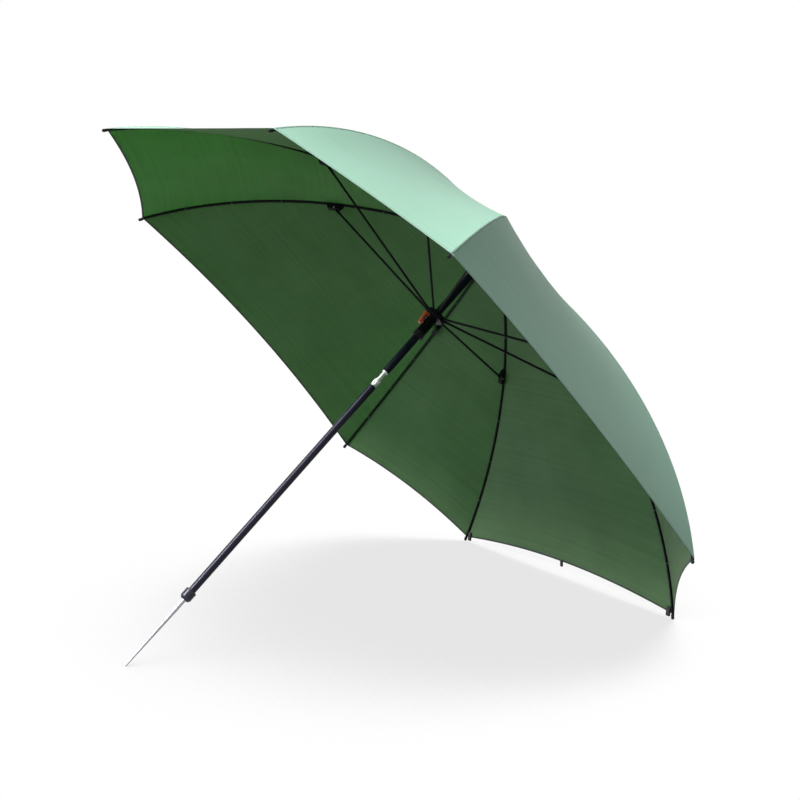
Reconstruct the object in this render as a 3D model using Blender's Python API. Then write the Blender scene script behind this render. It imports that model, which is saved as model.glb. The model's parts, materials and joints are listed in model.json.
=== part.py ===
"""Fishing umbrella, open, standing on its ground spike and on two rib tips.

Every piece is modelled in the umbrella's own frame: +Z runs up the pole to the crown, z = 0 is
the plane of the rib tips, and +X points at the gore that rests on the ground. One empty leans
that frame onto the ground. Ribs are lettered a to h round the rim.
"""
import math

import bmesh
import bpy
from mathutils import Matrix, Vector

# Driving dimensions of the open frame
GAP = 0.0003
RUNNING_GAP = 0.0005
CUT_OVERRUN = 0.002
RIM_RADIUS = 1.100
CROWN_HEIGHT = 0.514
SPIKE_REACH = 1.124
HINGE_RADIUS = 0.024
WIDE_GORE_ANGLE = math.radians(61.0)
CROWN_SLOPE = math.radians(4.0)
TIP_SLOPE = math.radians(49.65)
RIB_HANDLE_SHARE = 0.33
BRACKET_STATION_SHARE = 0.448

# Ribs, stretchers and their pivots
RIB_RADIUS = 0.00375
STRETCHER_RADIUS = 0.0035
TONGUE_HALF_HEIGHT = 0.0042
TONGUE_HALF_WIDTH = 0.0017
TONGUE_SHOULDER = 0.005
TONGUE_END_TURNS = (math.radians(20.0), math.radians(50.0), math.radians(90.0))
CROWN_TONGUE = 0.0105
RUNNER_TONGUE = 0.012
BRACKET_TONGUE_SPARE = 0.006
WIRE_RADIUS = 0.0014
PIN_RADIUS = 0.0015
SLOT_ROOM = 0.0006

# Brackets and tip caps on the ribs
BRACKET_LENGTH = 0.056
BRACKET_WIDTH = 0.0134
BRACKET_DROP = 0.013
BRACKET_SKIRT = 0.007
TIP_CAP_RADIUS = 0.005
TIP_CAP_LENGTH = 0.009
TIP_CAP_FLOOR = 0.001
TIP_CAP_ROOM = 0.0005
TIP_CAP_CHAMFER = 0.0006

# Canopy fabric
FABRIC_THICKNESS = 0.0012
SEAM_ALLOWANCE = 0.0003
GORE_START_RADIUS = 0.042
PEAK_ROW_SHARE = 2.0 / 3.0
WIDE_HEM_RISE = 0.038
NARROW_HEM_RISE = 0.026
WIDE_SAG = 0.027
WIDE_HEM_SAG = 0.003
NARROW_SAG = 0.014
NARROW_HEM_SAG = 0.009
WEBBING_THICKNESS = 0.0014
PEG_LOOP_WIDTH = 0.014
PEG_LOOP_LENGTH = 0.030
PEG_LOOP_DEPTH = 0.006
PEG_LOOP_INSET = 0.0215
PEG_LOOP_DROP = 0.012
HANG_LOOP_WIDTH = 0.008
HANG_LOOP_LENGTH = 0.022
HANG_LOOP_DEPTH = 0.006
HANG_LOOP_DROP = 0.016

# Pole
POLE_RADIUS = 0.01125
POLE_WALL = 0.002
UPPER_POLE_BOTTOM = 0.000
LOWER_POLE_TOP = -0.058
INNER_TUBE_RADIUS = 0.007
INNER_TUBE_WALL = 0.0015
INNER_TUBE_REACH = 0.500
INNER_PLUG_LENGTH = 0.050
INNER_FLANGE_RADIUS = 0.0098
INNER_FLANGE_HEIGHT = 0.004
LOCK_COLLAR_RADIUS = 0.0103
LOCK_COLLAR_LENGTH = 0.025
LOCK_COLLAR_SKIRT = 0.012
LOCK_COLLAR_CHAMFER = 0.001

# Foot
SPIKE_LENGTH = 0.241
SPIKE_RADIUS = 0.0068
SPIKE_POINT_LENGTH = 0.200
SPIKE_END_RADIUS = 0.003
SPIKE_HEAD_LENGTH = 0.030
FOOT_RADIUS = 0.0172
FOOT_LENGTH = 0.033
FOOT_LIP_RADIUS = 0.0125
FOOT_LIP_LENGTH = 0.007
FOOT_SHOULDER = 0.010
FOOT_CHAMFER = 0.001

# Crown
HUB_RADIUS = 0.031
CROWN_HUB_DROP = 0.0075
RUNNER_HUB_DROP = 0.011
HUB_RISE = 0.006
HUB_SLOT_RADIUS = 0.0185
HUB_CHAMFER = 0.001
CROWN_CAP_RADIUS = 0.052
CROWN_CAP_RIM = 0.0015
CROWN_CAP_HEIGHT = 0.006
CROWN_CAP_COLLAR_RADIUS = 0.020
FERRULE_RADIUS = 0.0125
FERRULE_END_RADIUS = 0.0075
FERRULE_HEIGHT = 0.038
FERRULE_BASE_HEIGHT = 0.010
FERRULE_STUD_LENGTH = 0.028
FERRULE_CHAMFER = 0.0015

# Runner and its catch
SLEEVE_RADIUS = 0.0155
SLEEVE_LENGTH = 0.090
GRIP_RADIUS = 0.0173
GRIP_LENGTH = 0.018
GRIP_GROOVE = 0.0012
FLANGE_CONE = 0.0012
LEVER_AZIMUTH = math.radians(180.0)
LEVER_WIDTH = 0.011
LEVER_PIVOT_RADIUS = 0.0240
LEVER_PIVOT_DROP = 0.0315
LEVER_NOSE_LENGTH = 0.018
LEVER_TAIL_LENGTH = 0.022
LEVER_INNER_RADIUS = 0.0205
LEVER_OUTER_RADIUS = 0.0355
LEVER_TAIL_RADIUS = 0.0290
LEVER_NOSE_TIP_RADIUS = 0.0125
LEVER_NOSE_HEIGHT = 0.007
LEVER_NOSE_WIDTH = 0.007
EAR_THICKNESS = 0.0028
EAR_HALF_LENGTH = 0.0060
EAR_OUTER_RADIUS = 0.0280
SPRING_RADIUS = 0.0030
SPRING_WIRE = 0.0004
SPRING_TURNS = 5
SPRING_POCKET = 0.004
SPRING_STATION = 0.015

# Travel of the joints
CLOSED_TIP_RADIUS = 0.055
POLE_EXTENSION = 0.350
POLE_SHORTENING = 0.025
LOCK_TURN = math.radians(90.0)
LEVER_PRESS = math.radians(6.0)

# Facet counts
TUBE_SIDES = 20
TURNED_SIDES = 24
ROD_SIDES = 8
PIN_SIDES = 8
WIRE_SIDES = 6
CAP_SIDES = 10
CAP_ARC_STEPS = 2
GORE_STATIONS = 12
WIDE_GORE_COLUMNS = 8
NARROW_GORE_COLUMNS = 4
SPRING_POINTS_PER_TURN = 8

# Sizes that follow
HALF_WIDE = WIDE_GORE_ANGLE / 2.0
POLE_BORE = POLE_RADIUS - POLE_WALL
FOOT_LEVEL = SPIKE_LENGTH - SPIKE_REACH
RIB_AZIMUTHS = {
    "a": math.pi - HALF_WIDE,
    "b": math.pi / 2.0 + HALF_WIDE,
    "c": math.pi / 2.0 - HALF_WIDE,
    "d": HALF_WIDE,
    "e": -HALF_WIDE,
    "f": HALF_WIDE - math.pi / 2.0,
    "g": -HALF_WIDE - math.pi / 2.0,
    "h": HALF_WIDE - math.pi,
}
GORES = ("ab", "bc", "cd", "de", "ef", "fg", "gh", "ha")

FRAMES = {}


# The rib's curve in its radial plane, as Vector(radius, 0, height)
def rib_handles():
    start = Vector((HINGE_RADIUS, 0.0, CROWN_HEIGHT))
    end = Vector((RIM_RADIUS, 0.0, 0.0))
    reach = RIB_HANDLE_SHARE * (end - start).length
    first = start + reach * Vector((math.cos(CROWN_SLOPE), 0.0, -math.sin(CROWN_SLOPE)))
    second = end - reach * Vector((math.cos(TIP_SLOPE), 0.0, -math.sin(TIP_SLOPE)))
    return start, first, second, end


def rib_point(share):
    start, first, second, end = rib_handles()
    rest = 1.0 - share
    return (rest ** 3 * start + 3.0 * rest ** 2 * share * first
            + 3.0 * rest * share ** 2 * second + share ** 3 * end)


def rib_tangent(share):
    start, first, second, end = rib_handles()
    rest = 1.0 - share
    slope = (rest ** 2 * (first - start) + 2.0 * rest * share * (second - first)
             + share ** 2 * (end - second))
    return slope.normalized()


def outward(tangent):
    return Vector((-tangent.z, 0.0, tangent.x))


def rib_share_at_radius(radius):
    low, high = 0.0, 1.0
    for _ in range(40):
        middle = (low + high) / 2.0
        if rib_point(middle).x < radius:
            low = middle
        else:
            high = middle
    return low


def rib_length():
    points = [rib_point(i / 200.0) for i in range(201)]
    return sum((b - a).length for a, b in zip(points, points[1:]))


BRACKET_TANGENT = rib_tangent(BRACKET_STATION_SHARE)
BRACKET_PIVOT = rib_point(BRACKET_STATION_SHARE) - BRACKET_DROP * outward(BRACKET_TANGENT)
RUNNER_HEIGHT = 2.0 * BRACKET_PIVOT.z - CROWN_HEIGHT
RIB_CHORD = (rib_point(1.0) - rib_point(0.0)).length
OPEN_ANGLE = math.atan2(RIM_RADIUS - HINGE_RADIUS, CROWN_HEIGHT)
FOLD_RANGE = OPEN_ANGLE - math.asin((CLOSED_TIP_RADIUS - HINGE_RADIUS) / RIB_CHORD)


def gore_fold(half_angle):
    """How far a gore turns about its own crown hinge until its hem lies on the closed ribs."""
    narrowed = math.cos(half_angle)
    reach = math.hypot((RIM_RADIUS - HINGE_RADIUS) * narrowed, CROWN_HEIGHT)
    hinge = rib_point(0.0)
    close = Matrix.Rotation(FOLD_RANGE, 4, "Y")
    low, high = 0.0, 1.0
    for _ in range(40):
        middle = (low + high) / 2.0
        place = close @ (rib_point(middle) - hinge)
        across, down = place.x * narrowed, -place.z
        if math.hypot(across, down) < reach:
            low = middle
        else:
            high = middle
    return math.atan2((RIM_RADIUS - HINGE_RADIUS) * narrowed, CROWN_HEIGHT) - math.atan2(across, down)


# The lean that puts the spike's end and the tips of ribs d and e on one level
def lean_matrix():
    across = RIM_RADIUS * math.cos(HALF_WIDE)
    along = SPIKE_REACH - SPIKE_END_RADIUS
    tilt = math.asin((TIP_CAP_RADIUS - SPIKE_END_RADIUS) / math.hypot(across, along))
    lean = math.atan2(across, along) + tilt
    ground_side = Vector((0.0, math.sin(lean), -math.cos(lean)))
    left_side = Vector((-1.0, 0.0, 0.0))
    pole = Vector((0.0, math.cos(lean), math.sin(lean)))
    return Matrix((ground_side, left_side, pole)).transposed().to_4x4()


# Materials
def material(name, color, roughness, metallic=0.0):
    found = bpy.data.materials.get(name)
    if found:
        return found
    made = bpy.data.materials.new(name)
    made.use_nodes = True
    shader = made.node_tree.nodes["Principled BSDF"]
    shader.inputs["Base Color"].default_value = (*color, 1.0)
    shader.inputs["Roughness"].default_value = roughness
    shader.inputs["Metallic"].default_value = metallic
    return made


FABRIC_GREEN = (0.045, 0.105, 0.050)
NAVY_BLACK = (0.012, 0.012, 0.020)
BLACK = (0.010, 0.011, 0.012)
BRIGHT = (0.78, 0.79, 0.80)
SILVER = (0.82, 0.86, 0.83)
LEVER_RED = (0.55, 0.09, 0.04)


def fabric():
    return material("canopy_fabric", FABRIC_GREEN, 0.6)


def pole_paint():
    return material("pole_paint", NAVY_BLACK, 0.3)


def frame_paint():
    return material("frame_paint", BLACK, 0.4)


def black_plastic():
    return material("black_plastic", BLACK, 0.45)


def bright_steel():
    return material("bright_steel", BRIGHT, 0.25, 1.0)


def joint_alloy():
    return material("joint_alloy", SILVER, 0.35, 1.0)


def lever_plastic():
    return material("lever_plastic", LEVER_RED, 0.35)


def webbing():
    return material("webbing", BLACK, 0.8)


# Placing
def joint_frame(name, parent, matrix, travel):
    """A moving piece's origin; travel is its lowest and highest turn or slide from rest."""
    empty = bpy.data.objects.new(name, None)
    empty.empty_display_size = HUB_RADIUS
    empty["travel"] = travel
    bpy.context.scene.collection.objects.link(empty)
    empty.parent = bpy.data.objects[parent]
    empty.matrix_basis = FRAMES[parent].inverted() @ matrix
    FRAMES[name] = matrix
    return empty


def seat(obj, parent, matrix=None):
    obj.parent = bpy.data.objects[parent]
    obj.matrix_basis = FRAMES[parent].inverted() @ (matrix or Matrix.Identity(4))
    return obj


def turn_z(angle):
    return Matrix.Rotation(angle, 4, "Z")


def radial(azimuth, radius, height):
    return turn_z(azimuth) @ Matrix.Translation((radius, 0.0, height))


# Meshes
def object_from(name, bm, finish):
    bmesh.ops.recalc_face_normals(bm, faces=bm.faces)
    if bm.calc_volume(signed=True) < 0.0:
        bmesh.ops.reverse_faces(bm, faces=bm.faces)
    mesh = bpy.data.meshes.new(name)
    bm.to_mesh(mesh)
    bm.free()
    mesh.materials.append(finish)
    mesh.shade_smooth()
    mesh.set_sharp_from_angle(angle=math.radians(35.0))
    obj = bpy.data.objects.new(name, mesh)
    bpy.context.scene.collection.objects.link(obj)
    return obj


def copy_of(obj, name):
    twin = bpy.data.objects.new(name, obj.data)
    bpy.context.scene.collection.objects.link(twin)
    return twin


def turned(name, outline, finish, sides=TURNED_SIDES, ring=False):
    """Spin an outline of (radius, height) points; ring closes it round a bore."""
    bm = bmesh.new()
    verts = [bm.verts.new((radius, 0.0, height)) for radius, height in outline]
    edges = [bm.edges.new(pair) for pair in zip(verts, verts[1:])]
    if ring:
        edges.append(bm.edges.new((verts[-1], verts[0])))
    bmesh.ops.spin(bm, geom=verts + edges, axis=(0, 0, 1), cent=(0, 0, 0),
                   angle=2.0 * math.pi, steps=sides, use_merge=True)
    bmesh.ops.remove_doubles(bm, verts=bm.verts, dist=GAP / 10.0)
    return object_from(name, bm, finish)


def tube(name, outer, inner, bottom, top, finish, sides=TUBE_SIDES):
    outline = [(inner, bottom), (outer, bottom), (outer, top), (inner, top)]
    return turned(name, outline, finish, sides, ring=True)


def add_box(bm, low, high, matrix=None):
    size = Vector(high) - Vector(low)
    middle = (Vector(high) + Vector(low)) / 2.0
    place = Matrix.Translation(middle) @ Matrix.Diagonal((*size, 1.0))
    bmesh.ops.create_cube(bm, size=1.0, matrix=(matrix or Matrix.Identity(4)) @ place)


def add_pin(bm, radius, length, matrix, sides=PIN_SIDES):
    """A cylinder along the local Y axis, centred on the matrix."""
    lie = Matrix.Rotation(math.pi / 2.0, 4, "X")
    bmesh.ops.create_cone(bm, cap_ends=True, segments=sides, radius1=radius, radius2=radius,
                          depth=length, matrix=matrix @ lie)


def swept(bm, stations, sides=ROD_SIDES):
    """Rings along a curve in the XZ plane; a station is (point, tangent, half height, half width)."""
    rings = []
    for point, tangent, height, width in stations:
        up = outward(tangent)
        ring = []
        for i in range(sides):
            angle = 2.0 * math.pi * (i + 0.5) / sides
            place = point + height * math.cos(angle) * up
            ring.append(bm.verts.new(place + Vector((0.0, width * math.sin(angle), 0.0))))
        rings.append(ring)
    for ring, after in zip(rings, rings[1:]):
        for i in range(sides):
            j = (i + 1) % sides
            bm.faces.new((ring[i], ring[j], after[j], after[i]))
    bm.faces.new(rings[0])
    bm.faces.new(list(reversed(rings[-1])))


def carved(body, cutters, operation="DIFFERENCE"):
    for cutter in cutters:
        cutter.hide_render = True
        cutter.display_type = "WIRE"
        change = body.modifiers.new(operation.lower(), "BOOLEAN")
        change.operation = operation
        change.solver = "EXACT"
        change.object = cutter
    depsgraph = bpy.context.evaluated_depsgraph_get()
    mesh = bpy.data.meshes.new_from_object(body.evaluated_get(depsgraph))
    body.modifiers.clear()
    body.data = mesh
    mesh.shade_smooth()
    mesh.set_sharp_from_angle(angle=math.radians(35.0))
    for cutter in cutters:
        bpy.data.objects.remove(cutter)
    return body


def facet_scale(sides):
    """Circumscribed over inscribed radius, so a faceted bore clears a faceted rod."""
    return 1.0 / math.cos(math.pi / sides)


# Pole and foot
def build_foot():
    low = FOOT_LEVEL
    top = low + FOOT_LENGTH
    shoulder = low + FOOT_SHOULDER
    socket = POLE_RADIUS + GAP
    bore = SPIKE_RADIUS + GAP
    collar = [(bore, low), (FOOT_LIP_RADIUS, low), (FOOT_RADIUS, low + FOOT_LIP_LENGTH),
              (FOOT_RADIUS, top - FOOT_CHAMFER), (FOOT_RADIUS - FOOT_CHAMFER, top),
              (socket, top), (socket, shoulder), (bore, shoulder)]
    seat(turned("foot_collar", collar, pole_paint(), ring=True), "lower_pole_slide")

    end = -SPIKE_REACH
    centre = end + SPIKE_END_RADIUS
    spike = [(0.0, end)]
    for i in range(1, CAP_ARC_STEPS + 1):
        angle = math.pi / 2.0 * i / CAP_ARC_STEPS
        spike.append((SPIKE_END_RADIUS * math.sin(angle), centre - SPIKE_END_RADIUS * math.cos(angle)))
    head = POLE_BORE - GAP
    seat_level = shoulder + GAP
    spike += [(SPIKE_RADIUS, end + SPIKE_POINT_LENGTH), (SPIKE_RADIUS, seat_level),
              (head, seat_level), (head, seat_level + SPIKE_HEAD_LENGTH),
              (0.0, seat_level + SPIKE_HEAD_LENGTH)]
    seat(turned("ground_spike", spike, bright_steel(), TUBE_SIDES), "lower_pole_slide")
    seat(tube("lower_pole", POLE_RADIUS, POLE_BORE, seat_level, LOWER_POLE_TOP, pole_paint()),
         "lower_pole_slide")


def build_pole_joint():
    low = LOWER_POLE_TOP + GAP
    top = low + LOCK_COLLAR_LENGTH
    skirt = POLE_BORE - GAP
    bore = INNER_TUBE_RADIUS + GAP
    collar = [(bore, low - LOCK_COLLAR_SKIRT), (skirt, low - LOCK_COLLAR_SKIRT), (skirt, low),
              (LOCK_COLLAR_RADIUS, low), (LOCK_COLLAR_RADIUS, top - LOCK_COLLAR_CHAMFER),
              (LOCK_COLLAR_RADIUS - LOCK_COLLAR_CHAMFER, top), (bore, top)]
    seat(turned("lock_collar", collar, joint_alloy(), TUBE_SIDES, ring=True), "lock_collar_twist")

    mouth = UPPER_POLE_BOTTOM - GAP
    inner = INNER_TUBE_RADIUS - INNER_TUBE_WALL
    plug_top = UPPER_POLE_BOTTOM + INNER_PLUG_LENGTH
    flange_low = mouth - INNER_FLANGE_HEIGHT
    profile = [(inner, -INNER_TUBE_REACH), (INNER_TUBE_RADIUS, -INNER_TUBE_REACH),
               (INNER_TUBE_RADIUS, flange_low), (INNER_FLANGE_RADIUS, flange_low),
               (INNER_FLANGE_RADIUS, mouth), (skirt, mouth), (skirt, plug_top),
               (inner, plug_top)]
    seat(turned("inner_tube", profile, joint_alloy(), TUBE_SIDES, ring=True), "umbrella_frame")
    top = CROWN_HEIGHT + HUB_RISE
    seat(tube("upper_pole", POLE_RADIUS, POLE_BORE, UPPER_POLE_BOTTOM, top, pole_paint()),
         "umbrella_frame")


# Crown
def wire_ring(name, height, radius, sides, parent=None):
    """The wire that threads the eight tongues, or the channel that it lies in."""
    outline = []
    for i in range(sides):
        angle = 2.0 * math.pi * i / sides
        outline.append((HINGE_RADIUS + radius * math.cos(angle), height + radius * math.sin(angle)))
    obj = turned(name, outline, bright_steel(), ring=True)
    if parent:
        seat(obj, parent)
    return obj


def slot_group(height, floor, top):
    """Radial slots for the eight tongues, open outwards, between two heights off the pins."""
    bm = bmesh.new()
    half = TONGUE_HALF_WIDTH + SLOT_ROOM / 2.0
    for azimuth in RIB_AZIMUTHS.values():
        add_box(bm, (HUB_SLOT_RADIUS, -half, height + floor),
                (HUB_RADIUS + CUT_OVERRUN, half, height + top), turn_z(azimuth))
    return object_from("slot_cutter", bm, frame_paint())


def build_crown():
    low = CROWN_HEIGHT - CROWN_HUB_DROP
    top = CROWN_HEIGHT + HUB_RISE
    bore = POLE_RADIUS + GAP
    outline = [(bore, low), (HUB_RADIUS - HUB_CHAMFER, low), (HUB_RADIUS, low + HUB_CHAMFER),
               (HUB_RADIUS, top - HUB_CHAMFER), (HUB_RADIUS - HUB_CHAMFER, top), (bore, top)]
    hub = turned("crown_hub", outline, black_plastic(), ring=True)
    roof = TONGUE_HALF_HEIGHT + GAP
    channel = wire_ring("ring_cutter", CROWN_HEIGHT, WIRE_RADIUS + RUNNING_GAP, WIRE_SIDES)
    carved(hub, [slot_group(CROWN_HEIGHT, -CROWN_HUB_DROP - CUT_OVERRUN, roof), channel])
    seat(hub, "umbrella_frame")
    wire_ring("crown_ring", CROWN_HEIGHT, WIRE_RADIUS, WIRE_SIDES, "umbrella_frame")

    cap_low = top + GAP
    cap_top = cap_low + CROWN_CAP_HEIGHT
    cap = [(POLE_BORE, cap_low), (CROWN_CAP_RADIUS, cap_low),
           (CROWN_CAP_RADIUS, cap_low + CROWN_CAP_RIM), (CROWN_CAP_COLLAR_RADIUS, cap_top),
           (POLE_BORE, cap_top)]
    seat(turned("crown_cap", cap, fabric(), ring=True), "umbrella_frame")

    seat_level = cap_top + GAP
    stud = POLE_BORE - GAP
    ferrule_top = seat_level + FERRULE_HEIGHT
    stud_low = seat_level - FERRULE_STUD_LENGTH
    ferrule = [(0.0, stud_low), (stud, stud_low), (stud, seat_level),
               (FERRULE_RADIUS, seat_level), (FERRULE_RADIUS, seat_level + FERRULE_BASE_HEIGHT),
               (FERRULE_END_RADIUS + FERRULE_CHAMFER, ferrule_top - FERRULE_CHAMFER),
               (FERRULE_END_RADIUS, ferrule_top), (0.0, ferrule_top)]
    seat(turned("crown_ferrule", ferrule, black_plastic(), TUBE_SIDES), "umbrella_frame")


# Ribs with their brackets and tip caps, around the crown hinge as origin
def round_end(pivot, away):
    """Stations of a tongue rounded about its pivot, from the end that points away."""
    stations = []
    for turn in TONGUE_END_TURNS:
        reach = TONGUE_HALF_HEIGHT * math.cos(turn)
        height = TONGUE_HALF_HEIGHT * math.sin(turn)
        stations.append((pivot + reach * away, height, TONGUE_HALF_WIDTH))
    return stations


def rib_stations(radius):
    hinge = rib_point(0.0)
    start_tangent = rib_tangent(0.0)
    tongue = (TONGUE_HALF_HEIGHT, TONGUE_HALF_WIDTH)
    stations = [(place, start_tangent, *size) for place, *size in round_end(hinge, -start_tangent)]
    first = rib_share_at_radius(HINGE_RADIUS + CROWN_TONGUE)
    stations.append((rib_point(first), rib_tangent(first), *tongue))
    first = rib_share_at_radius(HINGE_RADIUS + CROWN_TONGUE + TONGUE_SHOULDER)
    rows = [i / (GORE_STATIONS - 1) for i in range(GORE_STATIONS)]
    for share in [first] + [gore_share(row_share, 1.0, HALF_WIDE) for row_share in rows]:
        stations.append((rib_point(share), rib_tangent(share), radius, radius))
    end = rib_point(1.0) - (TIP_CAP_FLOOR + GAP) * rib_tangent(1.0)
    stations.append((end, rib_tangent(1.0), radius, radius))
    return [(point - hinge, *others) for point, *others in stations]


def rib_solid():
    bm = bmesh.new()
    swept(bm, rib_stations(RIB_RADIUS))
    rib = object_from("rib_a", bm, frame_paint())
    bm = bmesh.new()
    add_pin(bm, WIRE_RADIUS + RUNNING_GAP, 2.0 * (TONGUE_HALF_WIDTH + CUT_OVERRUN),
            Matrix.Identity(4))
    return carved(rib, [object_from("pin_cutter", bm, frame_paint())])


def bracket_frame():
    """Along the rib at the bracket, from the crown hinge: X down the rib, Z outwards."""
    up = outward(BRACKET_TANGENT)
    turn = Matrix((BRACKET_TANGENT, Vector((0.0, 1.0, 0.0)), up)).transposed().to_4x4()
    return Matrix.Translation(BRACKET_PIVOT - rib_point(0.0)) @ turn


def bracket_solid():
    half_length = BRACKET_LENGTH / 2.0
    half_width = BRACKET_WIDTH / 2.0
    frame = bracket_frame()
    bm = bmesh.new()
    add_box(bm, (-half_length, -half_width, -BRACKET_SKIRT), (half_length, half_width, BRACKET_DROP),
            frame)
    block = object_from("bracket_a", bm, black_plastic())
    bm = bmesh.new()
    swept(bm, rib_stations((RIB_RADIUS + GAP) * facet_scale(ROD_SIDES)))
    groove = object_from("groove_cutter", bm, frame_paint())
    bm = bmesh.new()
    half_slot = TONGUE_HALF_WIDTH + SLOT_ROOM / 2.0
    add_box(bm, (-half_length - CUT_OVERRUN, -half_slot, -BRACKET_SKIRT - CUT_OVERRUN),
            (half_length + CUT_OVERRUN, half_slot, TONGUE_HALF_HEIGHT + RUNNING_GAP), frame)
    slot = object_from("slot_cutter", bm, frame_paint())
    bm = bmesh.new()
    add_pin(bm, PIN_RADIUS, BRACKET_WIDTH - 2.0 * GAP, frame)
    rivet = object_from("rivet", bm, bright_steel())
    return carved(carved(block, [groove, slot]), [rivet], "UNION")


def tip_cap_solid():
    bore = RIB_RADIUS + TIP_CAP_ROOM
    outline = [(0.0, TIP_CAP_RADIUS)]
    for i in range(1, CAP_ARC_STEPS + 1):
        angle = math.pi / 2.0 * i / CAP_ARC_STEPS
        outline.append((TIP_CAP_RADIUS * math.sin(angle), TIP_CAP_RADIUS * math.cos(angle)))
    outline += [(TIP_CAP_RADIUS, TIP_CAP_CHAMFER - TIP_CAP_LENGTH),
                (TIP_CAP_RADIUS - TIP_CAP_CHAMFER / 2.0, -TIP_CAP_LENGTH),
                (bore, -TIP_CAP_LENGTH), (bore, -TIP_CAP_FLOOR), (0.0, -TIP_CAP_FLOOR)]
    return turned("tip_cap_a", outline, black_plastic(), CAP_SIDES)


def tip_frame():
    """At the rib's end, from the crown hinge: Z runs on past the tip."""
    tangent = rib_tangent(1.0)
    turn = Matrix((outward(tangent).cross(tangent), outward(tangent), tangent))
    return Matrix.Translation(rib_point(1.0) - rib_point(0.0)) @ turn.transposed().to_4x4()


def stretcher_solid():
    """From the bracket pivot as origin to the runner pivot, in the radial plane."""
    runner_pivot = Vector((HINGE_RADIUS, 0.0, RUNNER_HEIGHT))
    along = (runner_pivot - BRACKET_PIVOT).normalized()
    length = (runner_pivot - BRACKET_PIVOT).length
    tongue = (TONGUE_HALF_HEIGHT, TONGUE_HALF_WIDTH)
    rod = (STRETCHER_RADIUS, STRETCHER_RADIUS)
    upper = BRACKET_LENGTH / 2.0 + BRACKET_TONGUE_SPARE
    stops = [(upper, tongue), (upper + TONGUE_SHOULDER, rod),
             (length - RUNNER_TONGUE - TONGUE_SHOULDER, rod), (length - RUNNER_TONGUE, tongue)]
    stations = [(place, along, *size) for place, *size in round_end(Vector(), -along)]
    stations += [(along * distance, along, *size) for distance, size in stops]
    far_end = [(place, along, *size) for place, *size in round_end(along * length, along)]
    bm = bmesh.new()
    swept(bm, stations + far_end[::-1])
    stretcher = object_from("stretcher_a", bm, frame_paint())
    bm = bmesh.new()
    for distance, radius in ((0.0, PIN_RADIUS), (length, WIRE_RADIUS)):
        add_pin(bm, radius + RUNNING_GAP, 2.0 * (TONGUE_HALF_WIDTH + CUT_OVERRUN),
                Matrix.Translation(along * distance))
    return carved(stretcher, [object_from("pin_cutter", bm, frame_paint())])


def build_ribs():
    pieces = (("rib", rib_solid(), Matrix.Identity(4)),
              ("bracket", bracket_solid(), Matrix.Identity(4)),
              ("tip_cap", tip_cap_solid(), tip_frame()))
    stretcher = stretcher_solid()
    pivot = Matrix.Translation(BRACKET_PIVOT - rib_point(0.0))
    for letter in RIB_AZIMUTHS:
        crown = FRAMES["rib_hinge_" + letter]
        for kind, first, place in pieces:
            piece = first if letter == "a" else copy_of(first, f"{kind}_{letter}")
            seat(piece, "rib_hinge_" + letter, crown @ place)
        piece = stretcher if letter == "a" else copy_of(stretcher, "stretcher_" + letter)
        seat(piece, "stretcher_hinge_" + letter, crown @ pivot)


# Canopy
def gore_half_angle(gore):
    first, second = RIB_AZIMUTHS[gore[0]], RIB_AZIMUTHS[gore[1]]
    return ((first - second) % (2.0 * math.pi)) / 2.0


def gore_azimuth(gore):
    return RIB_AZIMUTHS[gore[0]] - gore_half_angle(gore)


def is_wide(half_angle):
    return half_angle > math.pi / 8.0


def hem_share(across_share, half_angle):
    """How far down the rib curve the hem lies: a shallow arc between two rib tips."""
    corner = TIP_CAP_LENGTH + GAP
    rise = WIDE_HEM_RISE if is_wide(half_angle) else NARROW_HEM_RISE
    return 1.0 - (corner + rise * (1.0 - across_share ** 2)) / rib_length()


def gore_share(row_share, across_share, half_angle):
    """Share of the rib curve, from the crown at row share 0 to the hem at row share 1."""
    top = rib_share_at_radius(GORE_START_RADIUS)
    return top + (hem_share(across_share, half_angle) - top) * row_share


def gore_sag(row_share, half_angle):
    """How far the middle of a gore hangs inside the straight line between its ribs."""
    sag, hem_sag = (WIDE_SAG, WIDE_HEM_SAG) if is_wide(half_angle) else (NARROW_SAG, NARROW_HEM_SAG)
    swell = (1.0 - row_share) / (PEAK_ROW_SHARE ** 2 * (1.0 - PEAK_ROW_SHARE))
    return row_share ** 2 * (sag * swell + hem_sag)


def fabric_lift():
    """Fabric above the rib's centre line, so that a sloping gore still clears the rod."""
    drop = math.atan(math.tan(HALF_WIDE) * math.cos(OPEN_ANGLE))
    steepest = 0.0
    for half_angle in (HALF_WIDE, math.pi / 4.0 - HALF_WIDE):
        for row in range(GORE_STATIONS):
            row_share = row / (GORE_STATIONS - 1)
            width = rib_point(gore_share(row_share, 1.0, half_angle)).x * math.sin(half_angle)
            steepest = max(steepest, math.atan2(2.0 * gore_sag(row_share, half_angle), width))
    return (RIB_RADIUS + GAP) / math.cos(drop + steepest)


def gore_place(row_share, across_share, half_angle):
    """Inner face of a gore in its own frame: point and outward normal."""
    share = gore_share(row_share, across_share, half_angle)
    tangent = rib_tangent(share)
    point = rib_point(share) + FABRIC_LIFT * outward(tangent)
    normal = outward(Vector((tangent.x * math.cos(half_angle), 0.0, tangent.z)).normalized())
    width = point.x * math.sin(half_angle) - SEAM_ALLOWANCE
    place = Vector((point.x * math.cos(half_angle), across_share * width, point.z))
    return place - gore_sag(row_share, half_angle) * (1.0 - across_share ** 2) * normal, normal


FABRIC_LIFT = fabric_lift()


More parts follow.
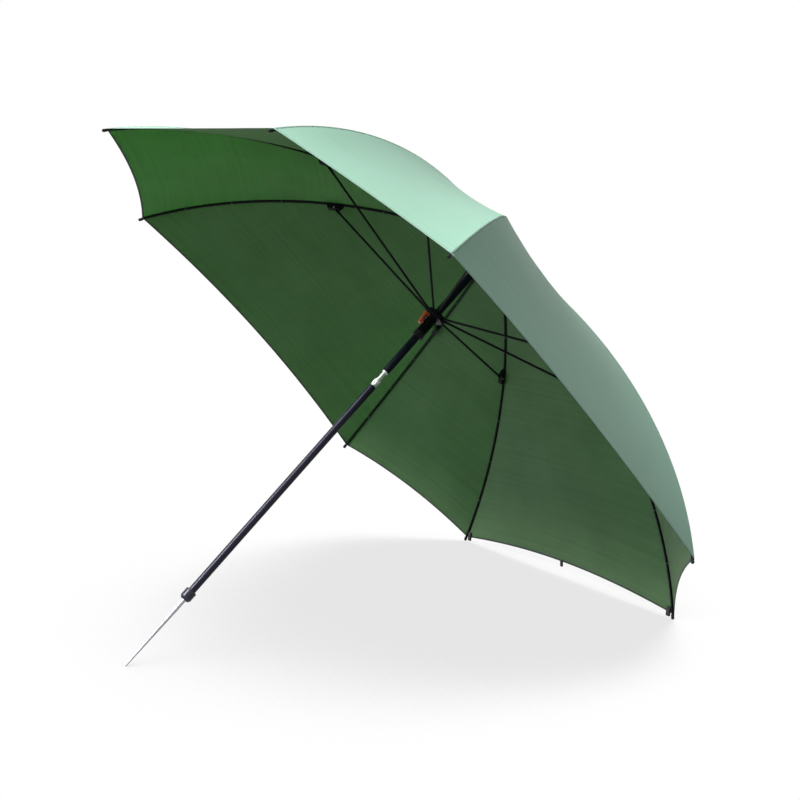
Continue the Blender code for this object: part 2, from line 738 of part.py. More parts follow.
def gore_solid(gore):
    half_angle = gore_half_angle(gore)
    columns = WIDE_GORE_COLUMNS if is_wide(half_angle) else NARROW_GORE_COLUMNS
    bm = bmesh.new()
    inner, outer = [], []
    for i in range(GORE_STATIONS):
        inner_row, outer_row = [], []
        for j in range(columns + 1):
            across = 2.0 * j / columns - 1.0
            place, normal = gore_place(i / (GORE_STATIONS - 1), across, half_angle)
            inner_row.append(bm.verts.new(place))
            outer_row.append(bm.verts.new(place + FABRIC_THICKNESS * normal))
        inner.append(inner_row)
        outer.append(outer_row)
    # Each field is split from its rib side down to its middle side, so the halves mirror
    for rows in (inner, outer):
        for row, after in zip(rows, rows[1:]):
            for j in range(columns):
                corners = [row[j], row[j + 1], after[j + 1], after[j]]
                if 2 * j >= columns:
                    corners = corners[1:] + corners[:1]
                bm.faces.new(corners[:3])
                bm.faces.new((corners[0], corners[2], corners[3]))
    rim_in = inner[0] + [row[-1] for row in inner[1:]] + inner[-1][-2::-1]
    rim_in += [row[0] for row in inner[-2:0:-1]]
    rim_out = outer[0] + [row[-1] for row in outer[1:]] + outer[-1][-2::-1]
    rim_out += [row[0] for row in outer[-2:0:-1]]
    for k in range(len(rim_in)):
        n = (k + 1) % len(rim_in)
        bm.faces.new((rim_in[k], rim_in[n], rim_out[n], rim_out[k]))
    return object_from("gore_" + gore, bm, fabric())


def webbing_ring(name, length, width, depth):
    """A flattened loop of webbing: X along its length, open along Y."""
    bm = bmesh.new()
    steps = 4
    outer, inner = [], []
    for side in (1.0, -1.0):
        for i in range(steps + 1):
            angle = side * math.pi / 2.0 - math.pi * i / steps
            turn = Vector((math.cos(angle), 0.0, math.sin(angle)))
            centre = Vector((side * (length - depth) / 2.0, 0.0, 0.0))
            outer.append(centre + turn * depth / 2.0)
            inner.append(centre + turn * (depth / 2.0 - WEBBING_THICKNESS))
    rows = []
    for y in (-width / 2.0, width / 2.0):
        shift = Vector((0.0, y, 0.0))
        for ring in (outer, inner):
            rows.append([bm.verts.new(point + shift) for point in ring])
    outer_low, inner_low, outer_high, inner_high = rows
    count = len(outer)
    for k in range(count):
        n = (k + 1) % count
        for first, second in ((outer_low, outer_high), (outer_high, inner_high),
                              (inner_high, inner_low), (inner_low, outer_low)):
            bm.faces.new((first[k], first[n], second[n], second[k]))
    return object_from(name, bm, webbing())


def loop_matrix(across_share, past_hem, length, width, depth):
    """Against the inner face of the ground gore at its hem, X pointing past the hem."""
    last_row = 1.0 - 1.0 / (GORE_STATIONS - 1)
    reach = width / 2.0 / (RIM_RADIUS * math.sin(HALF_WIDE))
    columns = [[gore_place(row_share, across_share + side * reach, HALF_WIDE)[0]
                for row_share in (last_row, 1.0)] for side in (0.0, -1.0, 1.0)]
    above, hem = columns[0]
    down = Vector((hem.x - above.x, 0.0, hem.z - above.z)).normalized()
    normal = outward(down)
    covered = (length - past_hem) / (hem - above).length
    dip = max((hem - low.lerp(high, share)).dot(normal)
              for high, low in columns for share in (0.0, covered))
    centre = hem - normal * (2.0 * GAP + dip + depth / 2.0) + down * (past_hem - length / 2.0)
    turn = Matrix((down, Vector((0.0, 1.0, 0.0)), normal)).transposed().to_4x4()
    return Matrix.Translation(centre) @ turn


def build_canopy():
    for gore in GORES:
        seat(gore_solid(gore), "gore_hinge_" + gore, turn_z(gore_azimuth(gore)))
    width = RIM_RADIUS * math.sin(HALF_WIDE)
    share = 1.0 - PEG_LOOP_INSET / width
    size = (PEG_LOOP_LENGTH, PEG_LOOP_WIDTH, PEG_LOOP_DEPTH)
    for letter, side in (("d", 1.0), ("e", -1.0)):
        loop = webbing_ring("peg_loop_" + letter, *size)
        seat(loop, "rib_hinge_" + letter, loop_matrix(side * share, PEG_LOOP_DROP, *size))
    size = (HANG_LOOP_LENGTH, HANG_LOOP_WIDTH, HANG_LOOP_DEPTH)
    seat(webbing_ring("hang_loop", *size), "gore_hinge_de", loop_matrix(0.0, HANG_LOOP_DROP, *size))


# Runner
def runner_outline():
    bore = POLE_RADIUS + RUNNING_GAP
    low = RUNNER_HEIGHT - SLEEVE_LENGTH
    grip_top = low + GRIP_LENGTH
    flange_low = RUNNER_HEIGHT - RUNNER_HUB_DROP
    top = RUNNER_HEIGHT + HUB_RISE
    outline = [(bore, low), (GRIP_RADIUS - GRIP_GROOVE, low)]
    ridges = 3
    pitch = GRIP_LENGTH / ridges
    for i in range(ridges):
        base = low + i * pitch
        outline += [(GRIP_RADIUS, base + pitch / 4.0), (GRIP_RADIUS, base + pitch * 3.0 / 4.0),
                    (GRIP_RADIUS - GRIP_GROOVE, base + pitch)]
    outline += [(SLEEVE_RADIUS, grip_top + GRIP_GROOVE), (SLEEVE_RADIUS, flange_low - FLANGE_CONE),
                (HUB_RADIUS - HUB_CHAMFER, flange_low), (HUB_RADIUS, flange_low + HUB_CHAMFER),
                (HUB_RADIUS, top - HUB_CHAMFER), (HUB_RADIUS - HUB_CHAMFER, top), (bore, top)]
    return outline


def build_runner():
    body = turned("runner", runner_outline(), black_plastic(), ring=True)
    pivot_height = RUNNER_HEIGHT - LEVER_PIVOT_DROP
    lever_turn = turn_z(LEVER_AZIMUTH)
    half = LEVER_WIDTH / 2.0 + RUNNING_GAP
    inside = (POLE_RADIUS + SLEEVE_RADIUS) / 2.0
    for side in (1.0, -1.0):
        bm = bmesh.new()
        near, far = side * half, side * (half + EAR_THICKNESS)
        add_box(bm, (inside, min(near, far), pivot_height - EAR_HALF_LENGTH),
                (EAR_OUTER_RADIUS, max(near, far), pivot_height + EAR_HALF_LENGTH), lever_turn)
        carved(body, [object_from("ear", bm, black_plastic())], "UNION")
    floor = -TONGUE_HALF_HEIGHT - GAP
    slots = slot_group(RUNNER_HEIGHT, floor, HUB_RISE + CUT_OVERRUN)
    channel = wire_ring("ring_cutter", RUNNER_HEIGHT, WIRE_RADIUS + RUNNING_GAP, WIRE_SIDES)
    bm = bmesh.new()
    nose_low = pivot_height + LEVER_NOSE_LENGTH - LEVER_NOSE_HEIGHT - RUNNING_GAP
    nose_lift = (LEVER_PIVOT_RADIUS - LEVER_NOSE_TIP_RADIUS) * math.sin(LEVER_PRESS)
    nose_high = pivot_height + LEVER_NOSE_LENGTH + RUNNING_GAP + nose_lift
    half_nose = LEVER_NOSE_WIDTH / 2.0 + RUNNING_GAP
    add_box(bm, (0.0, -half_nose, nose_low), (EAR_OUTER_RADIUS, half_nose, nose_high), lever_turn)
    window = object_from("window_cutter", bm, frame_paint())
    bm = bmesh.new()
    add_pin(bm, PIN_RADIUS + GAP, LEVER_WIDTH + 2.0 * (EAR_THICKNESS + CUT_OVERRUN),
            lever_turn @ Matrix.Translation((LEVER_PIVOT_RADIUS, 0.0, pivot_height)))
    pin_hole = object_from("pin_cutter", bm, frame_paint())
    carved(body, [slots, channel, window, pin_hole])
    seat(body, "runner_hinge")
    wire_ring("runner_ring", RUNNER_HEIGHT, WIRE_RADIUS, WIRE_SIDES, "runner_hinge")


def lever_outline():
    """Side view of the lever from its pivot: (radius, height) points, nose up the pole."""
    inner = LEVER_INNER_RADIUS - LEVER_PIVOT_RADIUS
    outer = LEVER_OUTER_RADIUS - LEVER_PIVOT_RADIUS
    tail = LEVER_TAIL_RADIUS - LEVER_PIVOT_RADIUS
    bevel = (tail - inner) / 3.0
    return [(inner, -LEVER_TAIL_LENGTH), (tail - bevel, -LEVER_TAIL_LENGTH),
            (tail, bevel - LEVER_TAIL_LENGTH), (outer, LEVER_NOSE_LENGTH - bevel),
            (outer - bevel, LEVER_NOSE_LENGTH), (inner, LEVER_NOSE_LENGTH)]


def extruded(bm, outline, half_width):
    front = [bm.verts.new((x, -half_width, z)) for x, z in outline]
    back = [bm.verts.new((x, half_width, z)) for x, z in outline]
    bm.faces.new(front)
    bm.faces.new(list(reversed(back)))
    for k in range(len(outline)):
        n = (k + 1) % len(outline)
        bm.faces.new((front[n], front[k], back[k], back[n]))


def build_lever():
    bm = bmesh.new()
    extruded(bm, lever_outline(), LEVER_WIDTH / 2.0)
    lever = object_from("catch_lever", bm, lever_plastic())
    bm = bmesh.new()
    tip = LEVER_NOSE_TIP_RADIUS - LEVER_PIVOT_RADIUS
    middle = (LEVER_INNER_RADIUS + LEVER_OUTER_RADIUS) / 2.0 - LEVER_PIVOT_RADIUS
    add_box(bm, (tip, -LEVER_NOSE_WIDTH / 2.0, LEVER_NOSE_LENGTH - LEVER_NOSE_HEIGHT),
            (middle, LEVER_NOSE_WIDTH / 2.0, LEVER_NOSE_LENGTH - GAP))
    carved(lever, [object_from("nose", bm, lever_plastic())], "UNION")
    bm = bmesh.new()
    add_pin(bm, PIN_RADIUS + GAP, LEVER_WIDTH + 2.0 * CUT_OVERRUN, Matrix.Identity(4))
    hole = object_from("pin_cutter", bm, frame_paint())
    bm = bmesh.new()
    pocket_end = LEVER_INNER_RADIUS + SPRING_POCKET - LEVER_PIVOT_RADIUS
    place = Matrix.Translation((pocket_end - SPRING_POCKET, 0.0, -SPRING_STATION))
    upright = Matrix.Rotation(math.pi / 2.0, 4, "Y")
    pocket_radius = SPRING_RADIUS + SPRING_WIRE + RUNNING_GAP
    bmesh.ops.create_cone(bm, cap_ends=True, segments=CAP_SIDES, radius1=pocket_radius,
                          radius2=pocket_radius, depth=2.0 * SPRING_POCKET, matrix=place @ upright)
    pocket = object_from("pocket_cutter", bm, frame_paint())
    carved(lever, [hole, pocket])
    place = radial(LEVER_AZIMUTH, LEVER_PIVOT_RADIUS, RUNNER_HEIGHT - LEVER_PIVOT_DROP)
    seat(lever, "catch_lever_hinge", place)

    bm = bmesh.new()
    add_pin(bm, PIN_RADIUS, LEVER_WIDTH + 2.0 * (EAR_THICKNESS + RUNNING_GAP), Matrix.Identity(4))
    seat(object_from("catch_pin", bm, bright_steel()), "runner_hinge", place)


def build_spring():
    """Coil between the sleeve and the lever's tail, pushing the nose towards the pole."""
    low = SLEEVE_RADIUS + SPRING_WIRE + GAP
    high = LEVER_INNER_RADIUS + SPRING_POCKET - SPRING_WIRE - GAP
    count = SPRING_TURNS * SPRING_POINTS_PER_TURN
    curve = bpy.data.curves.new("catch_spring", "CURVE")
    curve.dimensions = "3D"
    curve.bevel_depth = SPRING_WIRE
    curve.bevel_resolution = 1
    curve.use_fill_caps = True
    spline = curve.splines.new("POLY")
    spline.points.add(count)
    for i in range(count + 1):
        angle = 2.0 * math.pi * i / SPRING_POINTS_PER_TURN
        across = SPRING_RADIUS * math.cos(angle)
        along = SPRING_RADIUS * math.sin(angle)
        spline.points[i].co = (low + (high - low) * i / count, across, along, 1.0)
    curve.materials.append(bright_steel())
    spring = bpy.data.objects.new("catch_spring", curve)
    bpy.context.scene.collection.objects.link(spring)
    height = RUNNER_HEIGHT - LEVER_PIVOT_DROP - SPRING_STATION
    seat(spring, "runner_hinge", turn_z(LEVER_AZIMUTH) @ Matrix.Translation((0.0, 0.0, height)))


# Joint frames
def build_frames():
    root = bpy.data.objects.new("umbrella_frame", None)
    bpy.context.scene.collection.objects.link(root)
    FRAMES["umbrella_frame"] = Matrix.Identity(4)
    joint_frame("lower_pole_slide", "umbrella_frame", Matrix.Translation((0, 0, LOWER_POLE_TOP)),
                (-POLE_SHORTENING, POLE_EXTENSION))
    joint_frame("lock_collar_twist", "lower_pole_slide",
                Matrix.Translation((0, 0, LOWER_POLE_TOP)), (0.0, LOCK_TURN))
    for letter, azimuth in RIB_AZIMUTHS.items():
        joint_frame("rib_hinge_" + letter, "umbrella_frame",
                    radial(azimuth, HINGE_RADIUS, CROWN_HEIGHT), (0.0, FOLD_RANGE))
        joint_frame("stretcher_hinge_" + letter, "rib_hinge_" + letter,
                    radial(azimuth, BRACKET_PIVOT.x, BRACKET_PIVOT.z), (-2.0 * FOLD_RANGE, 0.0))
    for gore in GORES:
        half_angle = gore_half_angle(gore)
        reach = HINGE_RADIUS * math.cos(half_angle)
        joint_frame("gore_hinge_" + gore, "umbrella_frame",
                    radial(gore_azimuth(gore), reach, CROWN_HEIGHT), (0.0, gore_fold(half_angle)))
    joint_frame("runner_hinge", "stretcher_hinge_a",
                radial(RIB_AZIMUTHS["a"], HINGE_RADIUS, RUNNER_HEIGHT), (0.0, FOLD_RANGE))
    joint_frame("catch_lever_hinge", "runner_hinge",
                radial(LEVER_AZIMUTH, LEVER_PIVOT_RADIUS, RUNNER_HEIGHT - LEVER_PIVOT_DROP),
                (0.0, LEVER_PRESS))
    return root


def stand_on_ground(root):
    """Lean the umbrella, then bring the middle of its footprint to the origin."""
    root.matrix_world = lean_matrix()
    bpy.context.view_layer.update()
    depsgraph = bpy.context.evaluated_depsgraph_get()
    corners = []
    for obj in bpy.context.scene.objects:
        if obj.type == "EMPTY":
            continue
        solid = obj.evaluated_get(depsgraph)
        mesh = solid.to_mesh()
        corners += [solid.matrix_world @ vertex.co for vertex in mesh.vertices]
        solid.to_mesh_clear()
    low = [min(corner[axis] for corner in corners) for axis in range(3)]
    high = [max(corner[axis] for corner in corners) for axis in range(3)]
    root.location = (-(low[0] + high[0]) / 2.0, -(low[1] + high[1]) / 2.0, -low[2])
    bpy.context.view_layer.update()


def main():
    for obj in list(bpy.data.objects):
        bpy.data.objects.remove(obj)
    root = build_frames()
    build_foot()
    build_pole_joint()
    build_crown()
    build_ribs()
    build_canopy()
    build_runner()
    build_lever()
    build_spring()
    stand_on_ground(root)


main()
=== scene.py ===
"""Fishing umbrella, open and leaning on its ground spike and two rib tips.

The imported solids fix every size. This script dresses them: sewn canopy cloth, bound hems,
stitching, round ribs and stretchers, turned pole parts, moulded runner, brackets and caps.
Shapes are made in the umbrella's own frame (Z up the pole, X towards the gore that lies on the
ground) and then leaned into the world, so each finished mesh holds its own place.
"""
import json
import math

import bmesh
import bpy
from mathutils import Matrix, Vector
from mathutils.geometry import interpolate_bezier


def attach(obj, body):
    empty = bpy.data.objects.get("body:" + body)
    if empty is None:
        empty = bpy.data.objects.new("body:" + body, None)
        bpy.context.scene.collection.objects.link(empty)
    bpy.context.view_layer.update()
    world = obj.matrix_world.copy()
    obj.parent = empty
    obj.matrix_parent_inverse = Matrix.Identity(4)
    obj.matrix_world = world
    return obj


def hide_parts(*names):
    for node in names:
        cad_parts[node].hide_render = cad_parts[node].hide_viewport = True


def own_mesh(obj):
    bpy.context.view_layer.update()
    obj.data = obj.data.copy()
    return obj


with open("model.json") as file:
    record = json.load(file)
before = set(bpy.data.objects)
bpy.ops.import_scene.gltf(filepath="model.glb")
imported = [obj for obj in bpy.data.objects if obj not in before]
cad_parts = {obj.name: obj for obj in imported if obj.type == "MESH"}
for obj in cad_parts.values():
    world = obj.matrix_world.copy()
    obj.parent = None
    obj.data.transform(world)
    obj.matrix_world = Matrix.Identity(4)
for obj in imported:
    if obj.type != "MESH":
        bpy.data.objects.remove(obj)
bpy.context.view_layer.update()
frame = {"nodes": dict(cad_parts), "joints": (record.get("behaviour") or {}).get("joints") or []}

# Shared by all solids; a corner sharper than the angle given keeps its edge
GAP = 0.0003
ROOM = 0.0005
CUT_OVERRUN = 0.004
MERGE_DISTANCE = 1e-6
TURNED_SIDES = 72
PIN_SIDES = 24
GROOVE_SLOPE = 0.0004
ROUND_ANGLE = math.radians(40.0)
SHARP_ANGLE = math.radians(35.0)

# Driving values of the open frame
CROWN_HEIGHT = 0.514
RIM_RADIUS = 1.100
CROWN_SLOPE = math.radians(4.0)
TIP_SLOPE = math.radians(49.65)
RIB_HANDLE_SHARE = 0.33
RIB_STEPS = 240

# Ribs and stretchers
RIB_RADIUS = 0.00375
STRETCHER_RADIUS = 0.0035
STRETCHER_STEPS = 40
ROD_SIDES = 16
ROD_RINGS = 120
TONGUE_HALF_HEIGHT = 0.0042
TONGUE_HALF_WIDTH = 0.0017
TONGUE_SHOULDER = 0.005
CROWN_TONGUE = 0.0105
RUNNER_TONGUE = 0.012
BRACKET_TONGUE = 0.034
NOSE_LEAST = 0.0004
PIN_RADIUS = 0.0015

# Canopy cloth
GORE_START_RADIUS = 0.042
WIDE_HEM_RISE = 0.038
NARROW_HEM_RISE = 0.026
SEAM_ALLOWANCE = 0.0003
CLOTH_LIFT = 0.0002
CLOTH_THICKNESS = 0.0004
WIDE_SAG = 0.027
WIDE_HEM_SAG = 0.003
NARROW_SAG = 0.014
NARROW_HEM_SAG = 0.009
PEAK_ROW_SHARE = 2.0 / 3.0
SAG_ROWS = 12
GORE_ROWS = 300
WIDE_COLUMNS = 57
NARROW_COLUMNS = 37
EDGE_CROWDING = 0.8
PUCKER_HEIGHT = 0.0007
PUCKER_PITCH = 0.024
PUCKER_REACH = 0.010
PUCKER_DRIFT = 3.0
DRIFT_RATE = 9.0
DRIFT_SHIFT = 3.0
PULSE_RATE = 16.0
PULSE_SHIFT = 5.0
PULSE_SPAN = (0.35, 0.70)
RIPPLE_HEIGHT = 0.0016
RIPPLE_RATES = (3.0, 1.6)
RIPPLE_SCALE = 2.2
STILL_EDGE = 0.12
STILL_HEM_SHARE = 0.15
SEED_STEP = 7.0

# Seams, hems and their thread
SEAM_TAPE_WIDTH = 0.0034
SEAM_TAPE_THICKNESS = 0.0003
SEAM_TAPE_COLUMNS = 5
SEAM_ARCH = 0.0002
SEAM_STITCH_SHARE = 0.72
SEAM_STITCH_ROWS = (0.01, 0.99)
INNER_TAPE_WIDTH = 0.0028
INNER_STITCH_INSET = 0.0050
HEM_WIDTH = 0.0050
HEM_THICKNESS = 0.0003
HEM_STEPS = 17
HEM_FOLD_SPAN = (0.40, 0.60)
HEM_FOLD_POWER = 3.0
HEM_PROUD_SHARE = 0.8
OUTER_LEG_SHARE = 0.46
HEM_STITCH_RISE = 0.0062
HEM_STITCH_END = 0.975
HEM_STITCH_PROUD_SHARE = 1.4
STITCH_LENGTH = 0.0032
STITCH_PITCH = 0.0042
STITCH_RADIUS = 0.00032
STITCH_RINGS = 4
STITCH_LOOK_AHEAD = 0.001
TACK_SHARES = (0.17, 0.31, 0.60, 0.74, 0.87)
TACK_WRAPS = 5
TACK_SIDES = 20
THREAD_RADIUS = 0.0005
THREAD_PITCH = THREAD_RADIUS * 1.9
THREAD_SIDES = 6

# Brackets and tip caps
BRACKET_LENGTH = 0.056
BRACKET_FOOT_LENGTH = 0.030
BRACKET_WIDTH = 0.0134
BRACKET_DROP = 0.013
BRACKET_SKIRT = 0.007
BRACKET_END_HEIGHT = 0.006
BRACKET_TOE_RADIUS = 0.008
BRACKET_TOE_SWEEP = 70.0
BRACKET_MOUTH_SHARE = 0.8
BRACKET_BEVEL = 0.0011
RIVET_RADIUS = 0.0026
RIVET_DOME = 0.0009
TIP_CAP_LENGTH = 0.009
TIP_CAP_RADIUS = 0.005
TIP_CAP_SIDES = 32
TIP_CAP_GROOVE = 0.0006
TIP_CAP_GROOVE_SHARES = (0.35, 0.42, 0.55, 0.62)
TIP_CAP_CHAMFER = (0.0005, 0.0006)
TIP_CAP_FLOOR = 0.0012

# Pole, foot and spike
POLE_RADIUS = 0.01125
POLE_WALL = 0.002
POLE_LIP = 0.0006
PLUG_RADIUS = 0.0089
SPIKE_RADIUS = 0.0068
SPIKE_POINT_LENGTH = 0.200
SPIKE_END_RADIUS = 0.003
SPIKE_BLEND_DROP = 0.0002
SPIKE_BLEND_START = 0.002
SPIKE_BLEND_END = 0.001
SPIKE_BARE_END = 0.006
FOOT_LIP_LENGTH = 0.007
FOOT_LIP_RADIUS = 0.0125
FOOT_LIP_CHAMFER = 0.001
FOOT_SHOULDER_RADIUS = 0.003
FOOT_EDGE_RADIUS = 0.002
FOOT_FLOOR = 0.010
FOOT_GROOVES = 3
FOOT_GROOVE = 0.0007
FOOT_GROOVE_WIDTH = 0.0018
FOOT_GROOVE_START = 0.014
FOOT_GROOVE_PITCH = 0.0045

# Lock collar and inner tube
COLLAR_RADIUS = 0.0103
COLLAR_BORE = 0.0073
COLLAR_SIDES = 144
COLLAR_CHAMFER = 0.0006
COLLAR_EDGE_RADIUS = 0.0012
COLLAR_GROOVE = 0.0008
COLLAR_GROOVE_WIDTH = 0.0022
COLLAR_GROOVE_DROP = 0.005
COLLAR_FLUTES = 36
COLLAR_FLUTE_DEPTH = 0.00035
COLLAR_FLUTE_SPAN = (0.0045, 0.0165)
COLLAR_FLUTED_LOW = 0.004
COLLAR_FLUTED_LEVELS = 14
COLLAR_LEVEL_PITCH = 0.001
TUBE_BORE = 0.0055
TUBE_RADIUS = 0.0070
MOUTH_LENGTH = 0.004
MOUTH_RADIUS = 0.0098
MOUTH_EDGE_RADIUS = 0.0008

# Crown hub, cap and stud
SLOT_HALF_WIDTH = 0.0020
SLOT_OVERRUN = 0.003
HUB_RADIUS = 0.031
HUB_SLOT_RADIUS = 0.0185
HUB_RISE = 0.006
HUB_CUT = 0.002
CROWN_HUB_DROP = 0.0075
RUNNER_HUB_DROP = 0.011
FLANGE_EDGE_RADIUS = 0.0009
HUB_EDGE_RADIUS = FLANGE_EDGE_RADIUS * 1.5
CAP_BORE = 0.00925
CAP_EDGE_RADIUS = 0.0008
CAP_RIM_STEPS = ((0.0060, 0.0024), (0.0068, 0.0022), (0.0078, 0.0027))
CAP_DOME_POINT = (0.034, 0.0044)
CAP_COLLAR_RADIUS = 0.020
CAP_COLLAR_FLARE = 0.003
CAP_COLLAR_DROP = 0.0004
STUD_EDGE_RADIUS = 0.0008
STUD_STEPS = ((0.0, 0.0090), (0.0007, 0.0098), (0.0016, 0.0100), (0.0018, 0.0112))
STUD_END_RADIUS = 0.0075
STUD_NOSE_RADIUS = 0.005
STUD_NOSE_INSET = 0.004
STUD_TAPER_WIDENING = 0.0012
STUD_TAPER_DROP = 0.006

# Runner with its ears, lever and pin
SLEEVE_RADIUS = 0.0155
SLEEVE_STEP = 0.0008
SLEEVE_STEP_RISES = (0.0005, 0.0018)
GRIP_RADIUS = 0.0173
GRIP_LENGTH = 0.018
GRIP_RIDGES = 5
GRIP_RIDGE_SHARE = 0.32
GRIP_GROOVE = 0.0012
FLANGE_CONE = 0.0012
CONE_STEPS = 8
CONE_POWER = 1.6
CONE_REACH_SHARE = 0.96
EAR_THICKNESS = 0.0028
EAR_HALF_LENGTH = 0.0060
EAR_OUTER_RADIUS = 0.0280
EAR_CORNER = 0.004
EAR_BEVEL = 0.0005
WINDOW_RISE = 0.0018
LEVER_WIDTH = 0.011
LEVER_NOSE_LENGTH = 0.018
LEVER_TAIL_LENGTH = 0.022
LEVER_INNER_RADIUS = 0.0205
LEVER_OUTER_RADIUS = 0.0355
LEVER_TAIL_RADIUS = 0.0290
LEVER_CORNER = 0.0028
LEVER_BEVEL = 0.0007
GRIP_RIBS = 4
GRIP_RIB_PITCH = 0.0026
LEVER_NOSE_TIP_RADIUS = 0.0125
LEVER_NOSE_HEIGHT = 0.007
LEVER_NOSE_WIDTH = 0.007
LEVER_NOSE_BEVEL = 0.0005
LEVER_PIN_RADIUS = 0.0022
LEVER_PIN_DOME = 0.0007

# Webbing loops
WEBBING_BEVEL = 0.00035
WEBBING_FLATNESS = math.radians(1.0)
WEBBING_SHARP_ANGLE = math.radians(50.0)

# Finishes: rates are changes in a metre, across and along the own map
CLOTH_THREADS = 1300.0
CLOTH_BAND_RATES = (0.8, 75.0)
CLOTH_PILE_RATES = (14.0, 0.9)
CLOTH_CREASE_RATES = (7.0, 3.0)
SPECK_CELLS = 5.5
SPECK_EDGE = (0.005, 0.011)
SPECK_CHOICE = (0.55, 0.56)
DRAW_LINE_RATES = (1500.0, 2.5)
SCUFF_RATES = (90.0, 30.0)
STAIN_RATES = (60.0, 24.0)
RUBBED_RADIUS = 0.0006
RUBBED_SPAN = (0.80, 0.99)
RUBBED_SAMPLES = 4

# Camera, floor and light
CAMERA_PLACE = Vector((4.2816, -2.3327, 1.5218))
CAMERA_AIM = Vector((0.0233, 0.1364, 0.6436))
CAMERA_ROLL = math.radians(-1.915)
CAMERA_LENS = 76.585
CAMERA_SENSOR = 36.0
FLOOR_HALF = 60.0
FLOOR_DROP = 0.001
FLOOR_ALBEDO = 0.22
# The floor that the camera sees glows evenly, and an ambient occlusion pass darkens that glow under the
# umbrella: a painted shadow pool, not a shadow cast by the lamps.
PAINTED_SHADOW_REACH = 3.0
PAINTED_SHADOW_SAMPLES = 16
PAINTED_SHADOW_TONE = 0.79
PAINTED_SHADOW_OPEN_SHARES = (0.50, 0.74)
SKY_LIGHT = 0.17
KEY_FROM = Vector((0.0, -0.62, 0.785))
KEY_STRENGTH = 5.1
KEY_SPREAD = math.radians(14.0)
SIDE_FROM = Vector((0.05, -0.85, 0.42))
SIDE_STRENGTH = 0.9
SIDE_COLOUR = (0.90, 1.0, 1.25)
SIDE_SPREAD = math.radians(50.0)

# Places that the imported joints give
JOINTS = {joint["name"]: joint for joint in frame["joints"]}


def joint_place(name):
    return Vector(JOINTS[name]["pos_m"])


def rib_joint(letter):
    return "canopy_fold" if letter == "a" else f"rib_{letter}_fold"


POLE_AXIS = -Vector(JOINTS["lower_pole_slide"]["axis"]).normalized()
LEFT_SIDE = Vector((-1.0, 0.0, 0.0))
GROUND_SIDE = LEFT_SIDE.cross(POLE_AXIS)
CROWN = (joint_place(rib_joint("a")) + joint_place(rib_joint("e"))) / 2.0
HINGE_RADIUS = (joint_place(rib_joint("a")) - joint_place(rib_joint("e"))).length / 2.0
UMBRELLA = Matrix((GROUND_SIDE, LEFT_SIDE, POLE_AXIS)).transposed().to_4x4()
UMBRELLA.translation = CROWN - CROWN_HEIGHT * POLE_AXIS
TO_UMBRELLA = UMBRELLA.inverted()


def in_umbrella(place):
    return TO_UMBRELLA @ Vector(place)


def turn_z(angle):
    return Matrix.Rotation(angle, 4, "Z")


def azimuth_of(place):
    return math.atan2(place.y, place.x)


LETTERS = "abcdefgh"
RIB_AZIMUTHS = {letter: azimuth_of(in_umbrella(joint_place(rib_joint(letter)))) for letter in LETTERS}
GORES = [letter + LETTERS[(i + 1) % len(LETTERS)] for i, letter in enumerate(LETTERS)]
BRACKET_PLACE = in_umbrella(joint_place("stretcher_e_fold"))
BRACKET_PIVOT = Vector((math.hypot(BRACKET_PLACE.x, BRACKET_PLACE.y), 0.0, BRACKET_PLACE.z))
RUNNER_HEIGHT = in_umbrella(joint_place("runner_level")).z
LEVER_PLACE = in_umbrella(joint_place("catch_press"))
LEVER_AZIMUTH = azimuth_of(LEVER_PLACE)
LEVER_PIVOT_RADIUS = math.hypot(LEVER_PLACE.x, LEVER_PLACE.y)


def gore_half_angle(gore):
    return ((RIB_AZIMUTHS[gore[0]] - RIB_AZIMUTHS[gore[1]]) % (2.0 * math.pi)) / 2.0


def gore_azimuth(gore):
    return RIB_AZIMUTHS[gore[0]] - gore_half_angle(gore)


def is_wide(gore):
    return gore_half_angle(gore) > math.pi / 8.0


WIDE_HALF_ANGLE = gore_half_angle("de")


def node_span(node):
    """Lowest height, highest height and largest radius of a solid about the pole."""
    points = [TO_UMBRELLA @ vertex.co for vertex in frame["nodes"][node].data.vertices]
    heights = [point.z for point in points]
    return min(heights), max(heights), max(math.hypot(point.x, point.y) for point in points)


# The rib's line in its radial plane
def rib_line_points():
    start = Vector((HINGE_RADIUS, 0.0, CROWN_HEIGHT))
    end = Vector((RIM_RADIUS, 0.0, 0.0))
    reach = RIB_HANDLE_SHARE * (end - start).length
    first = start + reach * Vector((math.cos(CROWN_SLOPE), 0.0, -math.sin(CROWN_SLOPE)))
    second = end - reach * Vector((math.cos(TIP_SLOPE), 0.0, -math.sin(TIP_SLOPE)))
    return interpolate_bezier(start, first, second, end, RIB_STEPS + 1)


RIB_POINTS = rib_line_points()
RIB_LENGTHS = [0.0]
for before, after in zip(RIB_POINTS, RIB_POINTS[1:]):
    RIB_LENGTHS.append(RIB_LENGTHS[-1] + (after - before).length)
RIB_LENGTH = RIB_LENGTHS[-1]


def length_share(curve_share):
    """Share of the rib's length at a share of its curve parameter."""
    place = curve_share * RIB_STEPS
    low = min(int(place), RIB_STEPS - 1)
    return (RIB_LENGTHS[low] + (place - low) * (RIB_LENGTHS[low + 1] - RIB_LENGTHS[low])) / RIB_LENGTH


def rib_place(share):
    """Point, tangent and outward direction at a share of the rib's length."""
    wanted = share * RIB_LENGTH
    i = 1
    while i < RIB_STEPS and RIB_LENGTHS[i] < wanted:
        i += 1
    before, after = RIB_POINTS[i - 1], RIB_POINTS[i]
    tangent = (after - before).normalized()
    point = before + tangent * (wanted - RIB_LENGTHS[i - 1])
    return point, tangent, Vector((-tangent.z, 0.0, tangent.x))


def share_at_radius(radius):
    i = next(i for i, point in enumerate(RIB_POINTS) if point.x >= radius)
    return RIB_LENGTHS[i] / RIB_LENGTH


